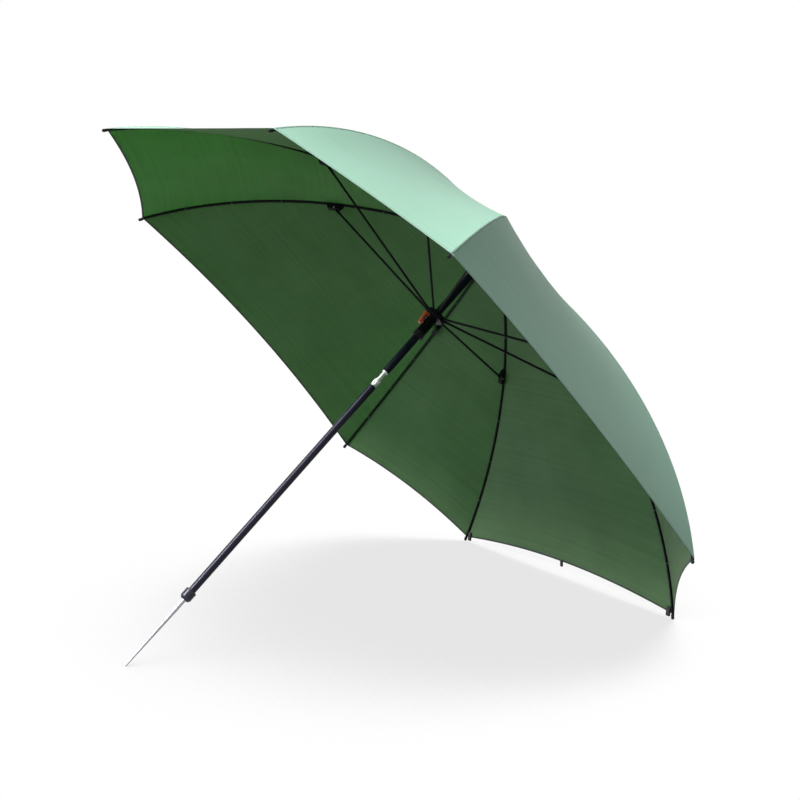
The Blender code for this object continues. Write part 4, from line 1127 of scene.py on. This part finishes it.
def make_seam(letter):
    """Tapes and stitching where two gores meet over one rib, all riding with the rib."""
    number = LETTERS.index(letter)
    strips = ((SEAM_TAPE_WIDTH, OUTER_FACE + SEAM_TAPE_THICKNESS / 2.0, SEAM_ARCH, SEAM_TAPE),
              (INNER_TAPE_WIDTH, CLOTH_LIFT - SEAM_TAPE_THICKNESS / 2.0, 0.0, HEM_TAPE))
    rows = ((SEAM_TAPE_WIDTH * SEAM_STITCH_SHARE, OUTER_FACE + SEAM_TAPE_THICKNESS),
            (INNER_STITCH_INSET, CLOTH_LIFT))
    tapes, threads = [], []
    for gore, side in ((GORES[number - 1], -1.0), (GORES[number], 1.0)):
        place = turn_z(gore_azimuth(gore))
        for far, proud, arch, material in strips:
            tape = grow_on_gore("tape", gore, TAPE_TREE, {
                "Side": side, "Near": -SEAM_ALLOWANCE, "Far": far, "Proud": proud, "Arch": arch,
                "Tape": material})
            tapes.append((finished(tape, [shell(SEAM_TAPE_THICKNESS, 0.0)]), place))
        ends = [(row, side) for row in SEAM_STITCH_ROWS]
        for inset, proud in rows:
            threads.append((stitches_between(gore, *ends, GORE_LENGTH, inset, proud), place))
    for name, parts, materials in (("seam_tape_", tapes, None), ("seam_stitching_", threads, [THREAD])):
        place_piece(name + letter, joined(name + letter, parts), UMBRELLA, "arm_" + letter,
                    "canopy_fabric", materials)


# Rods: round bars drawn along a line, with a flat tongue at each jointed end
def rod_tree():
    """Rings along a line, flattened to a tongue and rounded off at each end that has one."""
    inputs = [("Line", "geometry"), ("Radius", "number"), ("Start Tongue", "number"),
              ("End Tongue", "number"), ("Length", "number"), ("Paint", "material")]
    tree, given, end = new_tree("rod", inputs)
    line = field(tree, "GeometryNodeResampleCurve", {"Curve": given["Line"], "Count": ROD_RINGS})
    spot = field(tree, "GeometryNodeInputPosition")
    line = stored(tree, line, "far", field(tree, "GeometryNodeSplineParameter", output="Length"))
    line = stored(tree, line, "spot", spot, "FLOAT_VECTOR")
    mesh = field(tree, "GeometryNodeCurveToMesh", {
        "Curve": line, "Profile Curve": circle(tree, ROD_SIDES, given["Radius"]), "Fill Caps": True})
    far, centre = recalled(tree, "far"), recalled(tree, "spot", "FLOAT_VECTOR")

    def tongue(distance, length):
        """How flat the rod is near one end, and how round its nose."""
        has = length.calc("GREATER_THAN", GAP)
        flat = smooth_step(tree, distance - length, 0.0, TONGUE_SHOULDER, 1.0, 0.0) * has
        from_end = (1.0 - distance / TONGUE_HALF_HEIGHT).calc("MAXIMUM", 0.0) * has
        return flat, (1.0 - from_end * from_end).calc("MAXIMUM", NOSE_LEAST).calc("SQRT")

    start_flat, start_nose = tongue(far, given["Start Tongue"])
    end_flat, end_nose = tongue(given["Length"] - far, given["End Tongue"])
    flat = start_flat.calc("MAXIMUM", end_flat)
    x, y, z = separate(tree, vector_calc(tree, "SUBTRACT", spot, centre))
    radius = given["Radius"].calc("MAXIMUM", GAP)
    tall = (1.0 + flat * (TONGUE_HALF_HEIGHT / radius - 1.0)) * start_nose * end_nose
    thin = 1.0 + flat * (TONGUE_HALF_WIDTH / radius - 1.0)
    shaped = combine(tree, x * tall, y * thin, z * tall)
    mesh = moved(tree, mesh, vector_calc(tree, "ADD", centre, shaped))
    feed(tree, end.inputs[0], painted(tree, mesh, given["Paint"]))
    return tree


ROD_TREE = rod_tree()


def rod(name, points, radius, start_tongue, end_tongue):
    length = sum((b - a).length for a, b in zip(points, points[1:]))
    inputs = {"Radius": radius, "Start Tongue": start_tongue, "End Tongue": end_tongue,
              "Length": length, "Paint": FRAME_PAINT}
    bm = bmesh.new()
    bm.from_mesh(grow(name, ROD_TREE, inputs, line_curve(name, points)))
    return mesh_of(name, bm)


def rib_rod():
    hinge, tangent, _ = rib_place(0.0)
    points = [hinge - TONGUE_HALF_HEIGHT * tangent] + RIB_POINTS
    return rod("rib", points, RIB_RADIUS, TONGUE_HALF_HEIGHT + CROWN_TONGUE, 0.0)


def stretcher_rod():
    runner = Vector((HINGE_RADIUS, 0.0, RUNNER_HEIGHT))
    along = (runner - BRACKET_PIVOT).normalized()
    start = BRACKET_PIVOT - TONGUE_HALF_HEIGHT * along
    reach = (runner - BRACKET_PIVOT).length + 2.0 * TONGUE_HALF_HEIGHT
    points = [start + along * (reach * i / STRETCHER_STEPS) for i in range(STRETCHER_STEPS + 1)]
    return rod("stretcher", points, STRETCHER_RADIUS, BRACKET_TONGUE, TONGUE_HALF_HEIGHT + RUNNER_TONGUE)


# Solids in mesh code
def turned(name, outline, sides=TURNED_SIDES, ring=True, flutes=None):
    """Spins (radius, height) points about the pole, with a map of girth and height in metres.

    Flutes are given as count, depth, lowest and highest height, and the least radius that has them.
    """
    bm = bmesh.new()
    layer = bm.loops.layers.uv.new("UVMap")
    points = outline + outline[:1] if ring else outline
    rings = []
    for radius, height in points:
        if radius <= 0.0:
            rings.append([bm.verts.new((0.0, 0.0, height))] * sides)
            continue
        rings.append([])
        for i in range(sides):
            angle = 2.0 * math.pi * i / sides
            reach = radius
            if flutes and flutes[2] < height < flutes[3] and radius > flutes[4]:
                reach -= flutes[1] * (0.5 + 0.5 * math.cos(flutes[0] * angle))
            rings[-1].append(bm.verts.new((reach * math.cos(angle), reach * math.sin(angle), height)))
    girth = 2.0 * math.pi * max(radius for radius, _ in outline) / sides
    for k in range(len(points) - 1):
        for i in range(sides):
            j = (i + 1) % sides
            corners = {}
            for vert, turn, level in ((rings[k][i], i, k), (rings[k][j], i + 1, k),
                                      (rings[k + 1][j], i + 1, k + 1), (rings[k + 1][i], i, k + 1)):
                corners.setdefault(vert, (girth * turn, sum(points[level])))
            if len(corners) > 2:
                face = bm.faces.new(list(corners))
                for loop, place in zip(face.loops, corners.values()):
                    loop[layer].uv = place
    return mesh_of(name, bm)


def arc(centre, radius, start, end, steps):
    """Points of an arc in (radius, height), angles in degrees from the outward direction."""
    made = []
    for i in range(steps + 1):
        angle = math.radians(start + (end - start) * i / steps)
        made.append((centre[0] + radius * math.cos(angle), centre[1] + radius * math.sin(angle)))
    return made


def corner(radius, height, size, steps, upper=True):
    """Points that round an outline's outer corner, going up the outline."""
    if upper:
        return arc((radius - size, height - size), size, 0.0, 90.0, steps)
    return arc((radius - size, height + size), size, -90.0, 0.0, steps)


def groove(radius, low, depth, width):
    """Four points of a groove with sloped sides, going up an outline."""
    return [(radius, low), (radius - depth, low + GROOVE_SLOPE),
            (radius - depth, low + width - GROOVE_SLOPE), (radius, low + width)]


def box(low, high, place=None):
    """A plain box mesh, for cutting or for bevelling."""
    bm = bmesh.new()
    size = Vector(high) - Vector(low)
    middle = (Vector(high) + Vector(low)) / 2.0
    matrix = (place or Matrix.Identity(4)) @ Matrix.Translation(middle) @ Matrix.Diagonal((*size, 1.0))
    bmesh.ops.create_cube(bm, size=1.0, matrix=matrix)
    return mesh_of("box", bm)


def prism(outline, half_width):
    """An outline of (x, z) points drawn out along Y."""
    bm = bmesh.new()
    front = bm.faces.new([bm.verts.new((x, -half_width, z)) for x, z in outline])
    drawn = bmesh.ops.extrude_face_region(bm, geom=[front])
    verts = [item for item in drawn["geom"] if isinstance(item, bmesh.types.BMVert)]
    bmesh.ops.translate(bm, verts=verts, vec=(0.0, 2.0 * half_width, 0.0))
    return mesh_of("prism", bm)


def rounded(mesh, width, segments=3):
    return finished(mesh, [("BEVEL", {"width": width, "segments": segments, "limit_method": "ANGLE",
                                      "harden_normals": False, "angle_limit": SHARP_ANGLE})])


def carved(mesh, cutters, operation="DIFFERENCE"):
    """Cuts other meshes from a mesh, or adds them to it."""
    hosts = [add_object("cutter", cutter) for cutter in cutters]
    done = finished(mesh, [("BOOLEAN", {"operation": operation, "solver": "EXACT", "object": host})
                           for host in hosts])
    for host in hosts:
        bpy.data.objects.remove(host)
    done.shade_smooth()
    done.set_sharp_from_angle(angle=SHARP_ANGLE)
    return done


def pin(radius, length, place, dome=0.0):
    """A pin along Y, with domed heads if dome is given."""
    half = length / 2.0
    outline = [(radius * math.sin(angle), -half - dome * math.cos(angle))
               for angle in (math.pi / 8.0 * i for i in range(5))]
    outline += [(r, -h) for r, h in reversed(outline)]
    mesh = turned("pin", outline, PIN_SIDES, ring=False)
    mesh.transform(place @ Matrix.Rotation(math.pi / 2.0, 4, "X"))
    return mesh


# Brackets and tip caps, made once on a rib at azimuth zero
def bracket_place():
    station = min(range(RIB_STEPS), key=lambda i: (RIB_POINTS[i] - BRACKET_PIVOT).length)
    _, tangent, up = rib_place(RIB_LENGTHS[station] / RIB_LENGTH)
    turn = Matrix((tangent, Vector((0.0, 1.0, 0.0)), up)).transposed().to_4x4()
    return Matrix.Translation(BRACKET_PIVOT) @ turn


def bracket_mesh():
    """Moulded saddle: grips the rib above, opens below for the stretcher's tongue."""
    half, foot = BRACKET_LENGTH / 2.0, BRACKET_FOOT_LENGTH / 2.0
    top, low, toe = BRACKET_DROP, -BRACKET_SKIRT, BRACKET_TOE_RADIUS
    outline = [(-half, top), (-half, top - BRACKET_END_HEIGHT)]
    outline += arc((-foot, low + toe), toe, 270.0 - BRACKET_TOE_SWEEP, 270.0, 6)
    outline += arc((foot, low + toe), toe, 270.0, 270.0 + BRACKET_TOE_SWEEP, 6)
    outline += [(half, top - BRACKET_END_HEIGHT), (half, top)]
    body = rounded(prism(outline, BRACKET_WIDTH / 2.0), BRACKET_BEVEL)
    place = bracket_place()
    body.transform(place)

    def cut(half_width, bottom, height):
        return box((-half - GAP, -half_width, bottom), (half + GAP, half_width, height), place)

    slot = cut(SLOT_HALF_WIDTH, low - CUT_OVERRUN, TONGUE_HALF_HEIGHT + ROOM)
    near = [point for point in RIB_POINTS if (point - BRACKET_PIVOT).length < BRACKET_LENGTH]
    seat = rod("seat", near, RIB_RADIUS + GAP, 0.0, 0.0)
    mouth = cut(RIB_RADIUS * BRACKET_MOUTH_SHARE, top, top + CUT_OVERRUN)
    return carved(body, [slot, seat, mouth])


def tip_cap_mesh():
    length, radius, bore = TIP_CAP_LENGTH, TIP_CAP_RADIUS, RIB_RADIUS + GAP
    inset, rise = TIP_CAP_CHAMFER
    outline = [(0.0, radius)] + arc((0.0, 0.0), radius, 90.0, 0.0, 8)[1:]
    for share, depth in zip(TIP_CAP_GROOVE_SHARES, (0.0, TIP_CAP_GROOVE, TIP_CAP_GROOVE, 0.0)):
        outline.append((radius - depth, -length * share))
    outline += [(radius, -length + rise), (radius - inset, -length), (bore, -length),
                (bore, -TIP_CAP_FLOOR), (0.0, -TIP_CAP_FLOOR)]
    mesh = turned("tip_cap", outline, TIP_CAP_SIDES, ring=False)
    point, tangent, up = rib_place(1.0)
    turn = Matrix((up.cross(tangent), up, tangent)).transposed().to_4x4()
    mesh.transform(Matrix.Translation(point) @ turn)
    return mesh


def tack_tree():
    """Thread wound round a rib and through the seam, at a few places along it."""
    inputs = [("Line", "geometry"), ("Radius", "number"), ("Thread", "material")]
    tree, given, end = new_tree("tacks", inputs)
    ring, strand = circle(tree, TACK_SIDES, given["Radius"]), circle(tree, THREAD_SIDES, THREAD_RADIUS)
    wrap = field(tree, "GeometryNodeCurveToMesh", {"Curve": ring, "Profile Curve": strand})
    wraps = add_node(tree, "GeometryNodeJoinGeometry")
    for share in TACK_SHARES:
        for i in range(TACK_WRAPS):
            step = (i - (TACK_WRAPS - 1) / 2.0) * THREAD_PITCH / RIB_LENGTH
            place, tangent = on_line(tree, given["Line"], share + step)
            point = field(tree, "GeometryNodePoints", {"Count": 1, "Position": place})
            made = copied(tree, point, wrap, tangent, Vector((0.0, 1.0, 0.0)))
            tree.links.new(made.socket, wraps.inputs[0])
    feed(tree, end.inputs[0], painted(tree, Field(tree, wraps.outputs[0]), given["Thread"]))
    return tree


def make_arms():
    """Ribs with brackets, rivets, tip caps and thread tacks, and the stretchers below them."""
    rib, stretcher, bracket, cap = rib_rod(), stretcher_rod(), bracket_mesh(), tip_cap_mesh()
    rivet = pin(RIVET_RADIUS, BRACKET_WIDTH, bracket_place(), RIVET_DOME)
    tacks = grow("tacks", tack_tree(), {"Radius": RIB_RADIUS + THREAD_RADIUS, "Thread": THREAD},
                 line_curve("tack_line", RIB_POINTS))
    for letter in LETTERS:
        place = UMBRELLA @ turn_z(RIB_AZIMUTHS[letter])
        arm = "arm_" + letter
        rows = (("rib_rod_", rib, arm, "frame_paint", [FRAME_PAINT], ["rib_" + letter]),
                ("saddle_", bracket, arm, "black_plastic", [BLACK_PLASTIC], ["bracket_" + letter]),
                ("saddle_rivet_", rivet, arm, "bright_steel", [PLATED], []),
                ("rib_end_", cap, arm, "black_plastic", [BLACK_PLASTIC], ["tip_cap_" + letter]),
                ("thread_tacks_", tacks, arm, "canopy_fabric", [THREAD], []),
                ("strut_rod_", stretcher, "strut_" + letter, "frame_paint", [FRAME_PAINT],
                 ["stretcher_" + letter]))
        for prefix, mesh, body, slot, materials, nodes in rows:
            place_piece(prefix + letter, mesh.copy(), place, body, slot, materials, nodes)


# Pole, joint and foot, as outlines that run up the outer side
def place_turned(name, outline, body, slot, material, node, **more):
    """Spins an outline and sets it in place of a node."""
    place_piece(name, turned(name, outline, **more), UMBRELLA, body, slot, [material], [node])


def pole_outline(node):
    low, high, radius = node_span(node)
    bore = radius - POLE_WALL
    return [(bore, low), (radius - POLE_LIP, low), (radius, low + POLE_LIP), (radius, high - POLE_LIP),
            (radius - POLE_LIP, high), (bore, high)]


def foot_outline():
    low, high, radius = node_span("foot_collar")
    bore, floor = SPIKE_RADIUS + GAP, low + FOOT_FLOOR
    shoulder = low + FOOT_LIP_LENGTH + FOOT_LIP_CHAMFER
    outline = [(bore, low), (FOOT_LIP_RADIUS - FOOT_LIP_CHAMFER, low),
               (FOOT_LIP_RADIUS, low + FOOT_LIP_CHAMFER)]
    outline += arc((radius - FOOT_SHOULDER_RADIUS, shoulder), FOOT_SHOULDER_RADIUS, -50.0, 0.0, 6)
    for i in range(FOOT_GROOVES):
        level = low + FOOT_GROOVE_START + FOOT_GROOVE_PITCH * i
        outline += groove(radius, level, FOOT_GROOVE, FOOT_GROOVE_WIDTH)
    outline += corner(radius, high, FOOT_EDGE_RADIUS, 6)
    return outline + [(POLE_RADIUS + GAP, high), (POLE_RADIUS + GAP, floor), (bore, floor)]


def spike_outline():
    low, high, _ = node_span("ground_spike")
    blend = low + SPIKE_POINT_LENGTH
    outline = [(0.0, low)] + arc((0.0, low + SPIKE_END_RADIUS), SPIKE_END_RADIUS, -80.0, -12.0, 8)
    outline += [(SPIKE_RADIUS - SPIKE_BLEND_DROP, blend - SPIKE_BLEND_START),
                (SPIKE_RADIUS, blend + SPIKE_BLEND_END)]
    bare_end = node_span("foot_collar")[0] - SPIKE_BARE_END
    return outline + [(SPIKE_RADIUS, bare_end), (SPIKE_RADIUS, high), (0.0, high)]


def collar_outline(face):
    low, high, _ = node_span("lock_collar")
    fluted = face + COLLAR_FLUTED_LOW
    outline = [(COLLAR_BORE, low), (PLUG_RADIUS, low), (PLUG_RADIUS, face),
               (COLLAR_RADIUS - COLLAR_CHAMFER, face), (COLLAR_RADIUS, face + COLLAR_CHAMFER)]
    outline += [(COLLAR_RADIUS, fluted + COLLAR_LEVEL_PITCH * i) for i in range(COLLAR_FLUTED_LEVELS)]
    outline += groove(COLLAR_RADIUS, high - COLLAR_GROOVE_DROP, COLLAR_GROOVE, COLLAR_GROOVE_WIDTH)
    outline += corner(COLLAR_RADIUS, high, COLLAR_EDGE_RADIUS, 5)
    return outline + [(COLLAR_BORE, high)]


def tube_outline():
    low, high, _ = node_span("inner_tube")
    mouth = node_span("upper_pole")[0] - GAP
    flare = mouth - MOUTH_LENGTH
    outline = [(TUBE_BORE, low), (TUBE_RADIUS, low), (TUBE_RADIUS, flare)]
    outline += corner(MOUTH_RADIUS, flare, MOUTH_EDGE_RADIUS, 4, upper=False)
    return outline + [(MOUTH_RADIUS, mouth), (PLUG_RADIUS, mouth), (PLUG_RADIUS, high), (TUBE_BORE, high)]


def make_pole():
    for node, body in (("upper_pole", "crown_pole"), ("lower_pole", "ground_pole")):
        place_turned(node + "_tube", pole_outline(node), body, "pole_paint", POLE_PAINT, node)
    place_turned("foot_socket", foot_outline(), "ground_pole", "pole_paint", FOOT_PLASTIC, "foot_collar")
    place_turned("spike_rod", spike_outline(), "ground_pole", "bright_steel", BRIGHT_STEEL,
                 "ground_spike", ring=False)
    face = node_span("lower_pole")[1] + GAP
    flutes = (COLLAR_FLUTES, COLLAR_FLUTE_DEPTH, face + COLLAR_FLUTE_SPAN[0], face + COLLAR_FLUTE_SPAN[1],
              COLLAR_RADIUS - GAP)
    place_turned("lock_ring", collar_outline(face), "pole_lock", "joint_alloy", JOINT_ALLOY,
                 "lock_collar", sides=COLLAR_SIDES, flutes=flutes)
    place_turned("slide_tube", tube_outline(), "crown_pole", "joint_alloy", JOINT_ALLOY, "inner_tube")


# Hubs, runner and catch
def hub_cutters(height, floor, top):
    low = (HUB_SLOT_RADIUS, -SLOT_HALF_WIDTH, height + floor)
    high = (HUB_RADIUS + SLOT_OVERRUN, SLOT_HALF_WIDTH, height + top)
    return [box(low, high, turn_z(azimuth)) for azimuth in RIB_AZIMUTHS.values()]


def cap_outline():
    low, high, radius = node_span("crown_cap")
    edge, dome = CAP_EDGE_RADIUS, CAP_DOME_POINT
    outline = [(CAP_BORE, low), (radius - edge, low)]
    outline += arc((radius - edge, low + edge), edge, -90.0, 60.0, 5)
    outline += [(radius - inset, low + rise) for inset, rise in CAP_RIM_STEPS]
    outline += [(dome[0], low + dome[1]), (CAP_COLLAR_RADIUS + CAP_COLLAR_FLARE, high - CAP_COLLAR_DROP)]
    return outline + [(CAP_COLLAR_RADIUS, high), (CAP_BORE, high)]


def stud_outline():
    low, high, radius = node_span("crown_ferrule")
    seat = node_span("crown_cap")[1] + GAP
    outline = [(0.0, low), (PLUG_RADIUS, low), (PLUG_RADIUS, seat), (radius - STUD_EDGE_RADIUS, seat)]
    outline += corner(radius, seat, STUD_EDGE_RADIUS, 4, upper=False)
    outline += [(radius - inset, seat + rise) for inset, rise in STUD_STEPS]
    outline.append((STUD_END_RADIUS + STUD_TAPER_WIDENING, high - STUD_TAPER_DROP))
    nose = (STUD_END_RADIUS - STUD_NOSE_INSET, high - STUD_NOSE_RADIUS)
    return outline + arc(nose, STUD_NOSE_RADIUS, 10.0, 80.0, 6) + [(0.0, high)]


def make_crown():
    low, top = CROWN_HEIGHT - CROWN_HUB_DROP, CROWN_HEIGHT + HUB_RISE
    bore = POLE_RADIUS + GAP
    outline = [(bore, low)] + corner(HUB_RADIUS, low, HUB_EDGE_RADIUS, 4, upper=False)
    outline += corner(HUB_RADIUS, top, HUB_EDGE_RADIUS, 4) + [(bore, top)]
    hub = carved(turned("rib_hub", outline), hub_cutters(CROWN_HEIGHT, -CROWN_HUB_DROP - HUB_CUT,
                                                         TONGUE_HALF_HEIGHT + GAP))
    place_piece("rib_hub", hub, UMBRELLA, "crown_pole", "black_plastic", [BLACK_PLASTIC],
                ["crown_hub"])
    place_turned("crown_patch", cap_outline(), "crown_pole", "canopy_fabric", CLOTH_OUTER_PAINTED_LIGHT, "crown_cap")
    place_turned("crown_stud", stud_outline(), "crown_pole", "black_plastic", BLACK_PLASTIC,
                 "crown_ferrule", ring=False)


def sleeve_outline():
    """Ridged grip, sleeve and hollow cone up to the flange that carries the stretchers."""
    bore, waist = POLE_RADIUS + ROOM, GRIP_RADIUS - GRIP_GROOVE
    low, top = node_span("runner")[0], RUNNER_HEIGHT + HUB_RISE
    flange = RUNNER_HEIGHT - RUNNER_HUB_DROP
    pitch = GRIP_LENGTH / GRIP_RIDGES
    swell = pitch * GRIP_RIDGE_SHARE
    outline = [(bore, low), (waist, low)]
    for i in range(GRIP_RIDGES):
        outline += arc((GRIP_RADIUS - swell, low + (i + 0.5) * pitch), swell, -75.0, 75.0, 6)
        outline.append((waist, low + (i + 1) * pitch))
    step, rest = SLEEVE_STEP_RISES
    outline += [(SLEEVE_RADIUS + SLEEVE_STEP, low + GRIP_LENGTH + step),
                (SLEEVE_RADIUS, low + GRIP_LENGTH + rest), (SLEEVE_RADIUS, flange - FLANGE_CONE)]
    reach = (HUB_RADIUS - SLEEVE_RADIUS) * CONE_REACH_SHARE
    for i in range(1, CONE_STEPS):
        share = i / CONE_STEPS
        outline.append((SLEEVE_RADIUS + reach * share ** CONE_POWER, flange - FLANGE_CONE * (1.0 - share)))
    outline += corner(HUB_RADIUS, flange, FLANGE_EDGE_RADIUS, 4, upper=False)
    return outline + corner(HUB_RADIUS, top, HUB_EDGE_RADIUS, 4) + [(bore, top)]


def ear(side):
    """One of the two ears that hold the lever's pin."""
    inside = (POLE_RADIUS + SLEEVE_RADIUS) / 2.0
    bottom, top = LEVER_PLACE.z - EAR_HALF_LENGTH, LEVER_PLACE.z + EAR_HALF_LENGTH
    outline = [(inside, bottom)] + corner(EAR_OUTER_RADIUS, bottom, EAR_CORNER, 5, upper=False)
    outline += corner(EAR_OUTER_RADIUS, top, EAR_CORNER, 5) + [(inside, top)]
    made = rounded(prism(outline, EAR_THICKNESS / 2.0), EAR_BEVEL, 2)
    shift = side * (LEVER_WIDTH / 2.0 + ROOM + EAR_THICKNESS / 2.0)
    made.transform(turn_z(LEVER_AZIMUTH) @ Matrix.Translation((0.0, shift, 0.0)))
    return made


def make_runner():
    body = carved(turned("runner_sleeve", sleeve_outline()), [ear(1.0), ear(-1.0)], "UNION")
    high, half = LEVER_PLACE.z + LEVER_NOSE_LENGTH, LEVER_NOSE_WIDTH / 2.0 + ROOM
    window = box((0.0, -half, high - LEVER_NOSE_HEIGHT - ROOM), (EAR_OUTER_RADIUS, half, high + WINDOW_RISE),
                 turn_z(LEVER_AZIMUTH))
    slots = hub_cutters(RUNNER_HEIGHT, -TONGUE_HALF_HEIGHT - GAP, HUB_RISE + HUB_CUT)
    place_piece("runner_sleeve", carved(body, slots + [window]), UMBRELLA, "runner_body",
                "black_plastic", [BLACK_PLASTIC], ["runner"])


def lever_outline():
    """Wedge with a rounded tail, ribs for the thumb and a rounded top."""
    inner, outer, tail, size = LEVER_INNER_RADIUS, LEVER_OUTER_RADIUS, LEVER_TAIL_RADIUS, LEVER_CORNER
    low, high = LEVER_PLACE.z - LEVER_TAIL_LENGTH, LEVER_PLACE.z + LEVER_NOSE_LENGTH
    start, stop = low + size, high - size
    half = GRIP_RIB_PITCH / 4.0

    def face(level):
        return tail + (outer - tail) * (level - start) / (stop - start)

    outline = [(inner, low), (tail - size, low)] + arc((tail - size, start), size, -80.0, 0.0, 5)
    for i in range(GRIP_RIBS):
        level = start + (i + 1) * GRIP_RIB_PITCH
        outline += [(face(level - half), level - half), (face(level) - half, level),
                    (face(level + half), level + half)]
    return outline + arc((outer - size, stop), size, 0.0, 85.0, 5) + [(inner, high)]


def make_lever():
    high, half = LEVER_PLACE.z + LEVER_NOSE_LENGTH, LEVER_NOSE_WIDTH / 2.0
    middle = (LEVER_INNER_RADIUS + LEVER_OUTER_RADIUS) / 2.0
    pivot = Matrix.Translation((LEVER_PIVOT_RADIUS, 0.0, LEVER_PLACE.z))
    place = UMBRELLA @ turn_z(LEVER_AZIMUTH)
    nose = box((LEVER_NOSE_TIP_RADIUS, -half, high - LEVER_NOSE_HEIGHT), (middle, half, high - GAP))
    body = rounded(prism(lever_outline(), LEVER_WIDTH / 2.0), LEVER_BEVEL)
    body = carved(body, [rounded(nose, LEVER_NOSE_BEVEL, 2)], "UNION")
    body = carved(body, [pin(PIN_RADIUS + GAP, LEVER_WIDTH + CUT_OVERRUN, pivot)])
    place_piece("lever_pad", body, place, "catch", "lever_plastic", [LEVER_PLASTIC], ["catch_lever"])
    span = LEVER_WIDTH + 2.0 * (EAR_THICKNESS + ROOM)
    place_piece("lever_pin_heads", pin(LEVER_PIN_RADIUS, span, pivot, LEVER_PIN_DOME), place,
                "runner_body", "bright_steel", [PLATED], ["catch_pin"])


# Webbing loops on the hem that lies on the ground
def make_loops():
    rows = (("peg_loop_d", "arm_d"), ("peg_loop_e", "arm_e"), ("hang_loop", "panel_de"))
    for node, body in rows:
        bm = bmesh.new()
        bm.from_mesh(frame["nodes"][node].data)
        bmesh.ops.remove_doubles(bm, verts=bm.verts, dist=MERGE_DISTANCE)
        bmesh.ops.dissolve_limit(bm, angle_limit=WEBBING_FLATNESS, verts=bm.verts, edges=bm.edges)
        mesh = mesh_of(node + "_webbing", bm)
        mesh = rounded(mesh, WEBBING_BEVEL, 2)
        mesh.shade_smooth()
        mesh.set_sharp_from_angle(angle=WEBBING_SHARP_ANGLE)
        add_length_map(mesh)
        place_piece(node + "_webbing", mesh, Matrix.Identity(4), body, "webbing", [WEBBING], [node])


def add_length_map(mesh):
    """A map in metres: across the webbing, and round it."""
    layer = mesh.uv_layers.new(name="UVMap")
    for loop in mesh.loops:
        place = TO_UMBRELLA @ mesh.vertices[loop.vertex_index].co
        layer.data[loop.index].uv = (place.y, place.x + place.z)


def dress_kept_nodes():
    """The rings and the spring keep their own solids and get the plated finish."""
    for node in ("crown_ring", "runner_ring", "catch_spring"):
        mesh = frame["nodes"][node].data
        mesh.materials.clear()
        mesh.materials.append(PLATED)


# Stage
def rays_that_see(tree):
    """One for the rays that show the background: straight, mirrored or through glass."""
    rays = add_node(tree, "ShaderNodeLightPath")
    seen = [Field(tree, rays.outputs[f"Is {kind} Ray"]) for kind in ("Camera", "Glossy", "Transmission")]
    return seen[0].calc("MAXIMUM", seen[1]).calc("MAXIMUM", seen[2])


def make_stage():
    bm = bmesh.new()
    bmesh.ops.create_grid(bm, x_segments=1, y_segments=1, size=FLOOR_HALF)
    bmesh.ops.translate(bm, verts=bm.verts, vec=(0.0, 0.0, -FLOOR_DROP))
    mesh = bpy.data.meshes.new("floor")
    bm.to_mesh(mesh)
    bm.free()
    made, tree, shader = finish("floor_white", (FLOOR_ALBEDO,) * 3, 0.9, Specular_IOR_Level=0.1)
    # Camera, glossy and transmission rays see only the glow, whose strength falls by ambient occlusion under
    # the umbrella: a painted shadow pool.
    openness = add_node(tree, "ShaderNodeAmbientOcclusion", {"Distance": PAINTED_SHADOW_REACH}, samples=PAINTED_SHADOW_SAMPLES)
    painted_shadow = smooth_step(tree, Field(tree, openness.outputs["AO"]), *PAINTED_SHADOW_OPEN_SHARES, PAINTED_SHADOW_TONE, 1.0)
    glow = add_node(tree, "ShaderNodeEmission", {"Strength": painted_shadow})
    mix = add_node(tree, "ShaderNodeMixShader", {0: rays_that_see(tree)})
    tree.links.new(shader.outputs[0], mix.inputs[1])
    tree.links.new(glow.outputs[0], mix.inputs[2])
    tree.links.new(mix.outputs[0], tree.nodes["Material Output"].inputs["Surface"])
    mesh.materials.append(made)
    add_object("floor", mesh)


def make_world():
    world = bpy.data.worlds.new("studio")
    bpy.context.scene.world = world
    world.use_nodes = True
    tree = world.node_tree
    back = tree.nodes["Background"]
    back.inputs["Color"].default_value = (1.0, 1.0, 1.0, 1.0)
    feed(tree, back.inputs["Strength"], rays_that_see(tree) * (1.0 - SKY_LIGHT) + SKY_LIGHT)


def sun_lamp(name, toward_lamp, strength, spread, colour=(1.0, 1.0, 1.0)):
    light = bpy.data.lights.new(name, "SUN")
    light.color = colour
    light.energy = strength
    light.angle = spread
    obj = add_object(name, light)
    obj.location = toward_lamp
    obj.rotation_mode = "QUATERNION"
    obj.rotation_quaternion = toward_lamp.to_track_quat("Z", "Y")


def make_lights():
    sun_lamp("key", KEY_FROM, KEY_STRENGTH, KEY_SPREAD)
    sun_lamp("side", SIDE_FROM, SIDE_STRENGTH, SIDE_SPREAD, SIDE_COLOUR)


def make_camera():
    data = bpy.data.cameras.new("camera")
    data.lens = CAMERA_LENS
    data.sensor_width = CAMERA_SENSOR
    camera = add_object("camera", data)
    camera.location = CAMERA_PLACE
    camera.rotation_mode = "QUATERNION"
    aim = (CAMERA_AIM - CAMERA_PLACE).to_track_quat("-Z", "Y")
    camera.rotation_quaternion = aim @ Matrix.Rotation(CAMERA_ROLL, 3, "Z").to_quaternion()
    bpy.context.scene.camera = camera


bpy.context.scene.view_settings.view_transform = "Standard"
make_camera()
make_world()
make_lights()
make_stage()
for gore_name in GORES:
    make_gore(gore_name)
for rib_letter in LETTERS:
    make_seam(rib_letter)
make_arms()
make_pole()
make_crown()
make_runner()
make_lever()
make_loops()
dress_kept_nodes()
